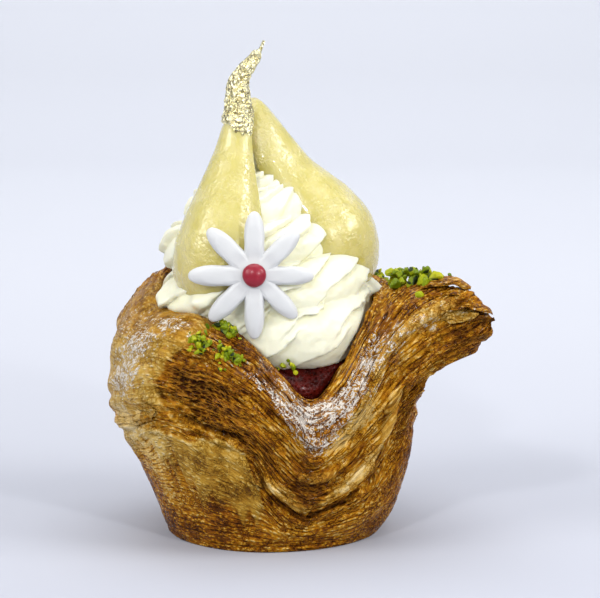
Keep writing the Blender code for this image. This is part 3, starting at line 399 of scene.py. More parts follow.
def grid_object(name, points, attributes=None):
    """A closed skin over rows of points whose columns close on themselves.

    points is (rows, columns, 3) in mm; the first and last rows are poles.
    Attributes are arrays of (rows, columns) or (rows, columns, 3).
    """
    mesh = mesh_from_arrays(name, pole_to_pole(points), skin_polygons(*points.shape[:2]))
    for key, values in (attributes or {}).items():
        keep_attribute(mesh, key, pole_to_pole(values))
    return add_object(name, mesh)


def flakes_object(name, grids, masks):
    """Several closed skins in one piece: each mask is one number, and the flow is the place."""
    polygons, start = [], 0
    for grid in grids:
        polygons += skin_polygons(*grid.shape[:2], start)
        start = polygons[-1].max() + 1
    points = np.concatenate([pole_to_pole(grid) for grid in grids])
    mesh = mesh_from_arrays(name, points, polygons)
    for key, value in masks.items():
        keep_attribute(mesh, key, np.full(len(points), value))
    keep_attribute(mesh, "flow", points)
    return add_object(name, mesh)


def mesh_from_arrays(name, points, polygons):
    """A mesh in metres from points in mm and a list of arrays of polygons."""
    mesh = bpy.data.meshes.new(name)
    sizes = np.concatenate([np.full(len(p), p.shape[1]) for p in polygons])
    mesh.vertices.add(len(points))
    mesh.vertices.foreach_set("co", (np.asarray(points) * MM).astype(np.float32).ravel())
    mesh.loops.add(int(sizes.sum()))
    mesh.loops.foreach_set("vertex_index", np.concatenate([p.ravel() for p in polygons]).astype(np.int32))
    mesh.polygons.add(len(sizes))
    mesh.polygons.foreach_set("loop_start", np.concatenate(([0], np.cumsum(sizes)[:-1])).astype(np.int32))
    mesh.update(calc_edges=True)
    mesh.validate()
    mesh.shade_smooth()
    return mesh


def add_object(name, data):
    """A new object in the scene with this mesh, lamp or camera."""
    obj = bpy.data.objects.new(name, data)
    bpy.context.scene.collection.objects.link(obj)
    return obj


def dress(obj, mat, slot, *nodes):
    """Give a piece its material and let it stand for its nodes; slot is not used."""
    obj.data.materials.append(mat)
    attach(obj, "root")
    if nodes:
        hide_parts(*nodes)
    return obj


# ---------------------------------------------------------- the cup's surface
def in_space(radius, height, angles):
    """Cylinder coordinates, with the angles in degrees, to points."""
    turn = np.radians(angles)[None, :]
    return np.stack((radius * np.cos(turn), radius * np.sin(turn), height + 0 * turn), axis=-1)


def round_slopes(at, values):
    """Slopes through values at rising places that close on themselves.

    Each is the harmonic mean of the slopes on both sides, or zero where they
    differ in sign, so that the curve never overshoots.
    """
    step = np.roll(at, -1) - at
    step[-1] += 360.0
    rise = (np.roll(values, -1, axis=0) - values) / step[:, None]
    before = np.roll(rise, 1, axis=0)
    same = before * rise > 0
    mean = 2 * before * rise / np.where(same, before + rise, 1.0)
    return np.where(same, mean, 0.0), step


def hermite(t, span, a, b, slope_a, slope_b):
    """Cubic from a to b with the given end slopes, at the part t of the span."""
    return (a * (2 * t**3 - 3 * t**2 + 1) + b * (3 * t**2 - 2 * t**3)
            + span * (slope_a * (t**3 - 2 * t**2 + t) + slope_b * (t**3 - t**2)))


def cup_rings(angles):
    """Radius and height of every ring of the cup at the given angles (degrees)."""
    at = np.array(sorted(CUP_SECTIONS), dtype=float)
    table = np.array([CUP_SECTIONS[int(a)] for a in at]).reshape(len(at), -1)
    slopes, step = round_slopes(at, table)
    turned = (angles - at[0]) % 360.0 + at[0]
    i = np.clip(np.searchsorted(at, turned, side="right") - 1, 0, len(at) - 1)
    k = (i + 1) % len(at)
    t = ((turned - at[i]) / step[i])[:, None]
    span = step[i][:, None]
    shaped = hermite(t, span, table[i], table[k], slopes[i], slopes[k]).reshape(len(angles), -1, 2)
    wall, crest = shaped[:, 0], shaped[:, -1]
    rings = np.zeros((len(angles), WELL + 1, 2))
    rings[:, FOOT] = (FOOT_R, 0.0)
    rings[:, TURN, 0] = 0.5 * (FOOT_R + wall[:, 0])
    rings[:, TURN, 1] = FOOT_TURN_UP
    rings[:, WALL:CREST + 1] = shaped
    rings[:, LIP] = crest - (LIP_IN, LIP_DOWN)
    rings[:, JAM_LINE, 0] = crest[:, 0] - JAM_LINE_IN
    rings[:, JAM_LINE, 1] = np.minimum(crest[:, 1] - JAM_LINE_DOWN, JAM_LINE_TOP)
    rings[:, FLOOR] = (FLOOR_R, FLOOR_Z)
    rings[:, WELL] = (0.0, FLOOR_Z)
    return rings


def cup_profile(rings, s):
    """Points at the ring numbers s: a smooth curve through the rings, flat below."""
    i = np.clip(s.astype(int), 0, WELL - 1)
    t = (s - i)[None, :, None]
    slopes = 0.5 * (np.roll(rings, -1, axis=1) - np.roll(rings, 1, axis=1))
    slopes[:, [CENTRE, WELL]] = 0.0
    slopes[:, FOOT, 1] = 0.0
    slopes[:, FLOOR, 1] = 0.0
    shaped = hermite(t, 1.0, rings[:, i], rings[:, i + 1], slopes[:, i], slopes[:, i + 1])
    straight = rings[:, i] * (1 - t) + rings[:, i + 1] * t
    flat = ((i < FOOT) | (i >= JAM_LINE))[None, :, None]
    return np.where(flat, straight, shaped)


def outward_normals(points):
    """Unit normals of a grid of (rows, columns, 3) points whose columns close."""
    along = np.gradient(points, axis=0)
    across = np.roll(points, -1, axis=1) - np.roll(points, 1, axis=1)
    normal = np.cross(across, along)
    length = np.linalg.norm(normal, axis=2, keepdims=True)
    return normal / np.maximum(length, 1e-9)


def behind_flap(angles, s):
    """Degrees behind the edge of the smooth lobe, negative in front of it."""
    edge = np.interp(s, *np.transpose(FLAP_EDGE))[:, None]
    return edge - ((angles[None, :] + 360.0) % 360.0 - 360.0)


def cup_surface(angles, s):
    """The cup's skin with the broad folds of its solid, as (rows, columns, 3)."""
    profile = cup_profile(cup_rings(angles), s)
    points = in_space(profile[..., 0].T, profile[..., 1].T, angles)
    x, y, z = np.moveaxis(points, -1, 0)
    band = (s - LAYERS_LOW) / (LAYERS_TOP - LAYERS_LOW)
    inside = np.clip(np.minimum(band, 1 - band) * 6 + 0.4, 0, 1)[:, None]
    wander = FOLD_WANDER * smooth_noise(x, y, z, FOLD_SEED, FOLD_WANDER_SIZE)
    fold = inside * np.sin(2 * math.pi * (FOLDS * band[:, None] + wander))
    rim = np.exp(-(((s - LAYERS_TOP) / RIM_EDGE_RINGS) ** 2))[:, None]
    behind = behind_flap(angles, s)
    lobe = (ramp(behind, 0.0, FLAP_RISE) * np.exp(-((behind / FLAP_FADE) ** 2))
            * ramp(s, LAYERS_LOW - 0.6, 0.6)[:, None])
    push = (FOLD_DEPTH * fold * (1 - 0.6 * lobe) + RIM_EDGE * rim * (1 - lobe)
            + FLAP_STEP * lobe + LUMPS * smooth_noise(x, y, z, LUMP_SEED, LUMP_SIZE))
    push = push * (ramp(s, FOOT + 0.6, 1.5) * (1 - ramp(s, CREST - 0.8, 0.8)))[:, None]
    return points + push[..., None] * outward_normals(points)


def cup_columns(count):
    """Angles round the cup, closest where the beak and the front are."""
    fine = np.linspace(-180, 180, FINE_ANGLES)
    weight = np.ones_like(fine)
    for angle, wide, closer in CLOSER:
        weight += closer * np.exp(-((fine - angle) / wide) ** 2)
    total = np.concatenate(([0.0], np.cumsum(0.5 * (weight[1:] + weight[:-1]))))
    return np.interp(np.arange(count) * total[-1] / count, total, fine)


def cup_row_numbers():
    """Ring numbers of the grid's rows, from the base's centre to the well's."""
    rows = [np.linspace(k, k + 1, n, endpoint=False) for k, n in sorted(CUP_ROWS.items())]
    return np.concatenate(rows + [np.array([float(WELL)])])


def on_the_cup(angle, ring):
    """A point on the cup's skin and the outward normal there."""
    patch = cup_surface(angle + np.array([-0.5, 0.0, 0.5]), ring + np.array([-0.05, 0.0, 0.05]))
    normal = np.cross(patch[1, 2] - patch[1, 0], patch[2, 1] - patch[0, 1])
    return patch[1, 1], normal / np.linalg.norm(normal)


# ------------------------------------------------------------ the baked crust
def spots(table, angles, s):
    """Sum of round soft spots: each amount times a bell over angle and ring."""
    total = np.zeros((len(s), len(angles)))
    for angle, ring, wide, deep, amount in table:
        off = (angles - angle + 180.0) % 360.0 - 180.0
        total += amount * np.exp(-(((s - ring) / deep) ** 2))[:, None] * np.exp(-((off / wide) ** 2))[None, :]
    return total


def line_distance(points, line):
    """Distance in mm from each point to a run of straight pieces between points on the cup."""
    ends = np.array([on_the_cup(float(a), float(r))[0] for a, r in line])
    best = np.full(points.shape[:-1], 1e9)
    for a, b in zip(ends[:-1], ends[1:]):
        t = np.clip(((points - a) @ (b - a)) / ((b - a) @ (b - a)), 0, 1)
        best = np.minimum(best, np.linalg.norm(points - a - t[..., None] * (b - a), axis=-1))
    return best


def sheet_numbers(angles, s, points):
    """Where each point lies in the stack of dough sheets.

    The along coordinates are the outline of the cup's widest ring in mm. The
    ring number, bent a little by noise, counts across the sheets: times two to
    the whole part of fineness it gives a count coarser than one sheet in SHEET
    mm, and times two more a finer one, with the fraction as the finer's share.
    """
    path = cup_profile(cup_rings(angles), s)
    stretch = np.linalg.norm(np.gradient(path, s, axis=1), axis=-1).T
    fineness = np.log2(np.maximum(stretch, 1.0) / SHEET)
    wide = cup_profile(cup_rings(angles), np.array([LAYERS_MID - 0.3]))[:, 0, 0]
    outline = in_space(wide[None, :], np.zeros((1, 1)), angles)[0]
    flow = np.empty(points.shape)
    flow[..., :2] = outline[None, :, :2]
    flow[..., 2] = s[:, None] + waves(points, SHEET_WANDER)
    return flow, fineness


def two_counts(flow, fineness, pattern):
    """A pattern of (along, along, sheet) mixed from the coarse and the fine count."""
    whole = np.floor(fineness)
    finer = ease(fineness - whole, *FINER_FROM)
    mixed = 0.0
    for count, share in ((2.0 ** whole, 1 - finer), (2.0 ** (whole + 1), finer)):
        place = flow.copy()
        place[..., 2] *= count
        mixed = mixed + share * pattern(place)
    return mixed


def streaks(place):
    """Long waves along the sheets with shorter ones over them, -1 to 1."""
    return drawn_waves(place, STREAKS)


def tears(place):
    """Long holes between sheets: 1 in the middle of some stretched cells."""
    near, second = cells(place * TEAR_CELLS, TEAR_CELL_SEED)
    return ease(second - near, *TEAR_INSIDE) * ease(drawn_waves(place, TEAR_PATCHES), *TEARS_WHERE)


def gaps(place):
    """Grooves between sheets: 1 at whole sheet numbers, fading in and out along their run."""
    off = np.abs(place[..., 2] % 1.0 - 0.5)
    return ease(off, *GAP_INSIDE) * ease(drawn_waves(place, GAP_PATCHES), *GAPS_WHERE)


def kept_in(points, box, margin):
    """Points near the sides of the box, or past them, drawn in softly.

    Past a line BOX_SOFT inside a side, the distance d from the line becomes
    BOX_SOFT times (1 - e to the power -d / BOX_SOFT), so it never meets the side.
    """
    low, high = (np.array(corner)[:2] / MM for corner in box)
    for axis in (0, 1):
        for side, sign in ((low[axis] + margin, -1.0), (high[axis] - margin, 1.0)):
            past = sign * points[..., axis] - (sign * side - BOX_SOFT)
            drawn = BOX_SOFT * (1 - np.exp(-np.maximum(past, 0) / BOX_SOFT))
            points[..., axis] = np.where(past > 0, sign * (sign * side - BOX_SOFT + drawn), points[..., axis])
    return points


def ridges_and_cracks(points):
    """Height of the pale ridges, 1 where a point is on one, and depth of the cracks."""
    height, on_ridge, crack = (np.zeros(points.shape[:2]) for _ in range(3))
    for line, half_width, tall in RIDGES:
        across = np.clip(line_distance(points, line) / half_width, 0, 1)
        height = np.maximum(height, tall * np.sqrt(1 - across**2))
        on_ridge = np.maximum(on_ridge, 1 - ease(across, *RIDGE_EDGE))
    wander = 1 + waves(points, CRACK_WAVES)
    for line, half_width, depth in CRACKS:
        across = line_distance(points, line) / (half_width * wander)
        crack = np.maximum(crack, depth * (1 - ease(across, 0.0, 1.0)))
    return height, on_ridge, crack


def crust(box):
    """The pastry cup: the solid's surface with the work of single layers on it."""
    angles, s = cup_columns(CUP_COLUMNS), cup_row_numbers()
    points = cup_surface(angles, s)
    normals = outward_normals(points)
    ring = s[:, None] + 0 * angles[None, :]
    flow, fineness = sheet_numbers(angles, s, points)

    outside = (ramp(s, *OUTSIDE_FROM) * (1 - ramp(s, *OUTSIDE_TO)))[:, None]
    behind = behind_flap(angles, s) + waves(points, LOBE_EDGE_WAVES)
    lobe = ease(behind, *LOBE_EDGE) * (1 - ease(behind, *LOBE_END)) * ease(ring, *LOBE_FROM)
    wiggle = waves(points, TORN_EDGE_WAVES)
    top = np.interp(angles, *np.transpose(SKIN_TOP), left=0.0, right=0.0)[None, :]
    low = np.interp(angles, *np.transpose(SKIN_LOW), left=9.0, right=9.0)[None, :]
    ragged = drawn_waves(flow, TORN_FRINGE)
    torn_skin = ease(top + wiggle - ring, *TORN_EDGE) * ease(ring - low + ragged, *TORN_FRINGE_STEP)
    ridge_height, ridge, crack = ridges_and_cracks(points)

    skin = np.maximum(np.maximum(lobe, torn_skin), 0.5 * ridge)
    band = ease(ring, *CUT_FROM) * (1 - ease(ring, *CUT_TO))
    hollows = HOLLOWS_BASE + spots(HOLLOWS, angles, s) + waves(points, HOLLOW_WAVES)
    opened = np.clip(band * hollows + CUT_BELOW * (1 - band), 0, 1) * (1 - skin)
    glaze = ease(ring, *WASH_FROM) * (1 - ease(ring, *WASH_TO)) * (1 - 0.45 * lobe)
    opened = opened * (1 - 0.6 * glaze)

    sheets = two_counts(flow, fineness, streaks)
    holes = two_counts(flow, fineness, tears)
    grooves = two_counts(flow, fineness, gaps)
    blisters = waves(points, BLISTER_WAVES)
    wrinkles = two_counts(flow * (1, 1, 0.8), fineness, streaks)
    furrows = (1 - torn_skin) * (1 - 0.75 * lobe) * (0.35 + 0.65 * np.maximum(band, glaze))
    furrows = furrows * (1 - spots(TIP_CALM, angles, s))
    push = (SHEET_DEPTH * sheets * furrows
            - TEAR_DEPTH * holes * opened - GAP_DEPTH * grooves * furrows
            + BLISTER * blisters * (0.35 + 0.65 * glaze)
            + WRINKLE * np.abs(wrinkles) * glaze
            + SKIN_STEP * torn_skin + ridge_height - crack + spots(SWELLS, angles, s)
            + waves(points, SKIN_WAVES)) * outside
    made = points + push[..., None] * normals
    made[..., 2] = np.maximum(made[..., 2], 0.0)
    made = kept_in(made, box, BOX_MARGIN)

    edge = torn_skin * (1 - ease(top + wiggle - ring, *TORN_LIFTED))
    bake_and_shade = spots(BAKE, angles, s) + waves(points, BAKE_CLOUDS) + 0.5 * edge
    # painted shade and light over the bake: the cracks and the sunken sheets darker, the raised sheets lighter
    bake_and_shade = bake_and_shade + 0.3 * ridge - 0.8 * crack - 0.2 * torn_skin + 0.22 * sheets * furrows
    # painted shade: the holes between sheets, the sunken sheets and the cracks are marked to be darkened where
    # shade falls in them
    hollow_shade = np.clip(0.85 * holes * opened + 0.6 * np.clip(-sheets - 0.15, 0, 1) * furrows + 0.8 * crack, 0, 1)
    masks = {"flow": flow, "fineness": fineness, "opened": opened, "skin": skin, "glaze": glaze,
             "sugar": np.clip(spots(SUGAR, angles, s), 0, 1.2), "bake_and_shade": bake_and_shade, "hollow_shade": hollow_shade}
    return grid_object("crust", made, masks)


def blade(line, up, half_width, thick, seed):
    """One thin flake: a closed tube round its path, flat in section.

    Half its width lies across the path and half its thickness along up, and it
    narrows to the tip with a ragged edge.
    """
    turn = np.linspace(0, 2 * math.pi, FLAKE_COLUMNS, endpoint=False)
    run = run_along(line)
    where = np.linspace(0, run[-1], FLAKE_ROWS)
    centre, normal = smooth_curve(run, line, where), smooth_curve(run, up, where)
    side = np.cross(np.gradient(centre, axis=0), normal)
    side /= np.linalg.norm(side, axis=1, keepdims=True)
    part = where[:, None] / run[-1]
    wide = half_width * (1 - 0.8 * part**1.8) * np.sqrt(np.minimum(1, 12 * (1 - part) + 0.02))
    ragged = wide * (1 + 0.3 * noise(centre[:, None] + 9 * np.cos(turn)[None, :, None], 1.7, seed))
    skin = (centre[:, None] + (ragged * np.cos(turn))[..., None] * side[:, None]
            + (thick * np.sin(turn) * (1 - 0.65 * part))[..., None] * normal[:, None])
    bend = sum(amount * noise(skin, size, seed + more) for amount, size, more in FLAKE_WAVES)
    skin += bend[..., None] * normal[:, None]
    ends = np.broadcast_to(skin[[0, -1]].mean(axis=1, keepdims=True), (2,) + skin.shape[1:])
    return np.concatenate((ends[:1], skin, ends[1:]))[::-1]


def wall_flakes():
    """Thin pale sheets that stand off the walls, as blades along short paths."""
    skins = []
    for places, half_width, thick in WALL_FLAKES:
        at = [on_the_cup(a, r) for a, r, _ in places]
        line = np.array([p + lift * n for (p, n), (_, _, lift) in zip(at, places)])
        seed = FLAKE_SEED + FLAKE_SEEDS * len(skins)
        skins.append(blade(line, np.array([n for _, n in at]), half_width, thick, seed))
    return flakes_object("wall_flakes", skins, WALL_FLAKE_MASKS)


def corner_flakes():
    """The tongues over the folded-out corner, as thicker blades."""
    skins = []
    for places, half_width, thick in CORNER_FLAKES:
        up = np.tile(CORNER_UP, (len(places), 1)) / np.linalg.norm(CORNER_UP)
        seed = FLAKE_SEED + FLAKE_SEEDS * (len(WALL_FLAKES) + len(skins))
        skins.append(blade(np.array(places), up, half_width, thick, seed))
    return flakes_object("corner_flakes", skins, CORNER_FLAKE_MASKS)


# -------------------------------------------------------------- jam and cream
def jam_height(part, edge_z):
    """The jam's height at a part of the way out: a flat-topped dome over its edge."""
    return edge_z + (JAM_TOP - edge_z) * np.sqrt(np.maximum(1 - part**JAM_SHOULDER, 0))


def jam():
    """The jam: dome over the well, with soft lumps of fruit in its skin."""
    angles = np.linspace(-180, 180, JAM_COLUMNS, endpoint=False)
    rings = cup_rings(angles)
    edge_r, edge_z = rings[:, JAM_LINE, 0] - JAM_CLEAR_SIDE, rings[:, JAM_LINE, 1]
    part = np.linspace(1.0, 0.0, JAM_ROWS)[:, None]
    top = in_space(part * edge_r, jam_height(part, edge_z), angles)
    top[..., 2] += waves(top, JAM_LUMPS) * ease(part, 0.02, 0.1) * (1 - ease(part, 0.9, 0.1))
    foot = np.array([0.0, 1.0])[:, None] * (FLOOR_R - JAM_CLEAR_FLOOR) + 0 * angles[None, :]
    bottom = in_space(foot, np.full(foot.shape, FLOOR_Z + JAM_CLEAR_FLOOR), angles)
    return grid_object("jam", np.concatenate((bottom, top)))


def cream_reach(azimuth, polar):
    """Distance from the rosette's eye to its skin.

    The furthest that any turn of the piped rope reaches along the ray. The rope's
    skin has the nozzle's grooves, which lean and so climb round the rosette.
    Also gives how deep in a groove each point lies.
    """
    turns = np.array(CREAM_TURNS)
    ray_r, ray_z = np.sin(polar), np.cos(polar)
    part = (azimuth / (2 * math.pi) + 0.5) % 1.0
    best = CREAM_CORE_R + 0 * polar
    deep = np.ones_like(best)
    for k in range(-1, len(turns)):
        at = np.clip(k + part, 0, len(turns) - 1)
        i = np.clip(at.astype(int), 0, len(turns) - 2)
        mix = (at - i)[..., None]
        rope_r, rope_z, thick, shift = np.moveaxis(turns[i] * (1 - mix) + turns[i + 1] * mix, -1, 0)
        rope_r = rope_r + shift * np.cos(azimuth)
        rope_z = rope_z - CREAM_EYE[2]
        along = rope_r * ray_r + rope_z * ray_z
        off = rope_r**2 + rope_z**2 - along**2
        hit = along + np.sqrt(np.maximum(thick**2 - off, 0))
        spin = np.arctan2(hit * ray_z - rope_z, hit * ray_r - rope_r)
        phase = CREAM_RIDGES * (spin + CREAM_LEAN * 2 * math.pi * (k + part)) / math.pi
        at_skin = np.stack((hit * ray_r * np.cos(azimuth), hit * ray_r * np.sin(azimuth), hit * ray_z), axis=-1)
        saw = (phase + waves(at_skin, GROOVE_WAVES)) % 1.0
        groove = np.clip(1 - saw, 0, 1) ** GROOVE_CURVE * ease(saw, *GROOVE_CUT)
        hit = hit + CREAM_RIDGE * (1 - CREAM_CALM * ease(at, *CALM_TURNS)) * (groove - GROOVE_LEVEL)
        on_top = (off < thick**2) & (hit > best)
        best = np.where(on_top, hit, best)
        deep = np.where(on_top, 1 - groove, deep)
    return best, deep


def cream():
    """The piped rosette, kept over the jam and inside the pastry's rim."""
    azimuth = np.linspace(0, 2 * math.pi, CREAM_COLUMNS, endpoint=False)[None, :]
    polar = np.linspace(math.pi, 0, CREAM_ROWS)[:, None]
    azimuth, polar = np.broadcast_arrays(azimuth, polar)
    reach, deep = cream_reach(azimuth, polar)
    reach = closed_ends(reach)
    ray = np.stack((np.sin(polar) * np.cos(azimuth), np.sin(polar) * np.sin(azimuth), np.cos(polar)), axis=-1)
    points = np.array(CREAM_EYE) + reach[..., None] * ray
    reach = reach + waves(points, CREAM_WAVES)
    off = (np.degrees(azimuth) - SPILL_AT + 180) % 360 - 180
    spill = np.exp(-((off / SPILL_WIDE) ** 4) - ((points[..., 2] - SPILL_Z) / SPILL_TALL) ** 2)
    reach = closed_ends(reach + SPILL * spill * (1 + waves(points, SPILL_WAVES)))
    points = np.array(CREAM_EYE) + reach[..., None] * ray
    turn = np.degrees(np.arctan2(points[..., 1], points[..., 0]))
    rings = cup_rings(turn.ravel()).reshape(turn.shape + (WELL + 1, 2))
    rim_r, rim_z = rings[..., CREST, 0], rings[..., CREST, 1]
    edge_r, edge_z = rings[..., JAM_LINE, 0], rings[..., JAM_LINE, 1]
    away = np.hypot(points[..., 0], points[..., 1])
    near_rim = ramp(points[..., 2], edge_z, 1.0) * ramp(points[..., 2], rim_z - 3.0, 3.0)
    room = edge_r + (rim_r - edge_r) * near_rim - RIM_CLEAR
    free_from = rim_z + RIM_CLEAR - RIM_LOWER * ease(spill, *SPILL_FREE)
    room = np.where(points[..., 2] > free_from, np.inf, room)
    points[..., :2] *= np.minimum(1.0, room / np.maximum(away, 1e-6))[..., None]
    away = np.hypot(points[..., 0], points[..., 1])
    part = np.clip(away / edge_r, 0, 1)
    points[..., 2] = np.maximum(points[..., 2], jam_height(part, edge_z) - JAM_OVERLAP)
    over = away - rim_r
    lap = np.maximum(points[..., 2], rim_z - RIM_FALL * over)
    points[..., 2] = np.where(over > -RIM_EDGE_WIDE, lap, points[..., 2])
    return grid_object("cream", closed_ends(points), {"deep": deep})


# ---------------------------------------------------------------- pear halves
def smooth_profile(table, count):
    """Half widths at evenly spread places along a profile: a curve through its points."""
    at, half = np.transpose(table)
    along = run_along(np.stack((at * PEAR_LENGTH, half), axis=1))
    even = np.linspace(0, along[-1], count)
    places, widths = smooth_curve(along, at, even), smooth_curve(along, half, even)
    return np.clip(places, 0, 1), np.maximum(widths, 0.0)


def smooth_curve(at, values, where):
    """Cubic through values at the places at, with slopes that never overshoot."""
    values = np.asarray(values, float)
    rise = np.diff(values, axis=0) / np.diff(at).reshape((-1,) + (1,) * (values.ndim - 1))
    same = rise[:-1] * rise[1:] > 0
    inner = np.where(same, 2 * rise[:-1] * rise[1:] / np.where(same, rise[:-1] + rise[1:], 1.0), 0.0)
    slopes = np.concatenate((rise[:1], inner, rise[-1:]))
    i = np.clip(np.searchsorted(at, where, side="right") - 1, 0, len(at) - 2)
    span = at[i + 1] - at[i]
    t = (where - at[i]) / span
    if values.ndim > 1:
        t, span = t[:, None], span[:, None]
    return hermite(t, span, values[i], values[i + 1], slopes[i], slopes[i + 1])


def pear_half(name, seed):
    """Half a poached baby pear.

    A half turn of the profile: the side away from the round face is pressed
    flat by a soft limit, y to (y + root(y squared + edge squared)) / 2.
    """
    stem_end, blossom_end, facing = (Vector(v) for v in PEARS[name])
    axis = blossom_end - stem_end
    at, half = smooth_profile(PEAR_PROFILES[name], PEAR_ROWS)
    turn = np.linspace(0, 2 * math.pi, PEAR_COLUMNS, endpoint=False)[None, :]
    fuller = NECK_FULLER.get(name, 0.0) * np.exp(-(((at - NECK_AT) / NECK_WIDE) ** 2))[:, None]
    side = half[:, None] * np.cos(turn) * (1 + fuller * (np.cos(turn) > 0))
    out = half[:, None] * np.sin(turn)
    edge = PEAR_EDGE * np.minimum(1, half[:, None] / PEAR_EDGE_FULL)
    out = 0.5 * (out + np.sqrt(out**2 + edge**2)) * PEAR_THIN
    down = -at[:, None] * axis.length + 0 * turn
    local = np.stack((side, out, down), axis=-1)
    lumps = sum(amount * noise(local * stretch, size, seed + more)
                for amount, stretch, size, more in PEAR_LUMPS)
    local[..., :2] *= 1 + ((PEAR_SWELL * lumps - PEAR_SHRINK) * (half[:, None] > 0.5))[..., None]
    up = -axis.normalized()
    outward = (facing - facing.dot(up) * up).normalized()
    placed = local @ np.array(Matrix((outward.cross(up), outward, up))) + np.array(stem_end)
    placed = closed_ends(placed[::-1])
    depth = at[::-1][:, None] + 0 * turn
    masks = {"along": depth, "grain": local[::-1]}
    return grid_object(name.replace("pear_half", "poached_pear"), placed, masks)


# ------------------------------------------------------------------- the stem
def foil_stem():
    """The stem in gold leaf: a tube along its path whose skin is crumpled.

    The skin is pushed by the ridges between cells, and the lower edge hangs
    unevenly over the pear's neck before it tucks in.
    """
    path = np.array(STEM_PATH)
    at = run_along(path[:, :3])
    where = np.linspace(0, at[-1], STEM_ROWS)
    line = smooth_curve(at, path, where)
    centre, radius = line[:, :3], line[:, 3]
    tangent = np.gradient(centre, axis=0)
    tangent /= np.linalg.norm(tangent, axis=1, keepdims=True)
    side = np.cross(tangent, (0.0, 1.0, 0.0))
    side /= np.linalg.norm(side, axis=1, keepdims=True)
    back = np.cross(tangent, side)
    turn = np.linspace(0, 2 * math.pi, STEM_COLUMNS, endpoint=False)
    outward = np.cos(turn)[None, :, None] * side[:, None] + np.sin(turn)[None, :, None] * back[:, None]
    skin = centre[:, None] + radius[:, None, None] * outward
    crumple = 0.0
    for size, seed, depth in CRUMPLES:
        near, second = cells(skin / size, seed)
        crumple = crumple + depth * ramp(second - near, 0, CRUMPLE_EDGE)
    crumple = crumple * CRUMPLE_DEPTH * np.minimum(1.0, radius[:, None] / CRUMPLE_FULL_R)
    hang = HANG * np.cos(turn) + HANG_RAGGED * noise(outward[0] * HANG_WAVES, 1.0, HANG_SEED) - HANG_RAISED
    hang = hang[None, :] * np.exp(-((where / HANG_RUN) ** 2))[:, None]
    skin = skin - crumple[..., None] * outward - hang[..., None] * tangent[:, None]
    skin = np.concatenate((np.broadcast_to(centre[:1, None], (1,) + skin.shape[1:]), skin,
                           np.broadcast_to(centre[-1:, None], (1,) + skin.shape[1:])))
    return grid_object("gilded_stem_leaf", skin[:, ::-1])


# ------------------------------------------------------------------ the daisy
def daisy_place():
    """The daisy's place: its face turns to the front and leans back a little."""
    lean = Matrix.Rotation(math.radians(90.0 - DAISY_TILT), 4, "X")
    return np.array(Matrix.Translation(Vector(DAISY_AT)) @ lean)


def placed_by(points, matrix):
    """Points turned and moved by a matrix of four rows."""
    return points @ matrix[:3, :3].T + matrix[:3, 3]


def petals():
    """Eight pillowed petals: the outline of one, turned and scaled, over a pillow section."""
    shape = np.array(PETAL_SHAPE)
    reach, half = np.hypot(*shape.T), np.arctan2(shape[:, 1], shape[:, 0])
    tip = shape[-1, 0] + PETAL_TIP
    width_angles = np.concatenate((-half, [0.0], half[::-1]))
    radii = np.concatenate((reach, [tip], reach[::-1]))
    even = np.linspace(0, len(radii) - 1, PETAL_COLUMNS, endpoint=False)
    angle_one = smooth_curve(np.arange(len(radii)), width_angles, even)
    radius_one = smooth_curve(np.arange(len(radii)), radii, even)
    petal = np.arange(len(PETAL_LENGTHS))[:, None]
    angle = (2 * math.pi * petal / len(PETAL_LENGTHS) + math.pi / 2 + angle_one[None, :]).ravel()
    reach = (np.array(PETAL_LENGTHS)[:, None] * radius_one[None, :]).ravel()
    section = np.array(DAISY_SECTION)
    run = run_along(section * (DAISY_REACH, 1))
    part, height = smooth_curve(run, section, np.linspace(0, run[-1], DAISY_ROWS)).T[..., None]
    radius = part * reach
    on_face = ease(height, *FACE_FROM)
    dimple = DIMPLE * np.exp(-((radius - DIMPLE_R) / DIMPLE_WIDE) ** 2)
    points = np.stack((radius * np.cos(angle), radius * np.sin(angle), height - on_face * dimple), axis=-1)
    points[..., 2] += waves(points, PETAL_WAVES) * on_face
    return grid_object("sugar_petals", placed_by(closed_ends(points), daisy_place()))


def button():
    """The red button: a flattened ball, a little wider on one side."""
    polar = np.linspace(math.pi, 0, EYE_ROWS)[:, None]
    turn = np.linspace(0, 2 * math.pi, EYE_COLUMNS, endpoint=False)[None, :]
    x = DAISY_EYE_R * np.sin(polar) * np.cos(turn)
    y = DAISY_EYE_R * np.sin(polar) * np.sin(turn)
    z = DAISY_EYE_R * np.cos(polar) * np.where(np.cos(polar) > 0, EYE_UP, EYE_DOWN) + 0 * turn
    x = x * (1 + EYE_SKEW * y / DAISY_EYE_R)
    z = z + DAISY_SECTION[-1][1] + EYE_GAP + EYE_DOWN * DAISY_EYE_R - EYE_SINK
    return grid_object("red_button", placed_by(np.stack((x, y, z), axis=-1), daisy_place()))


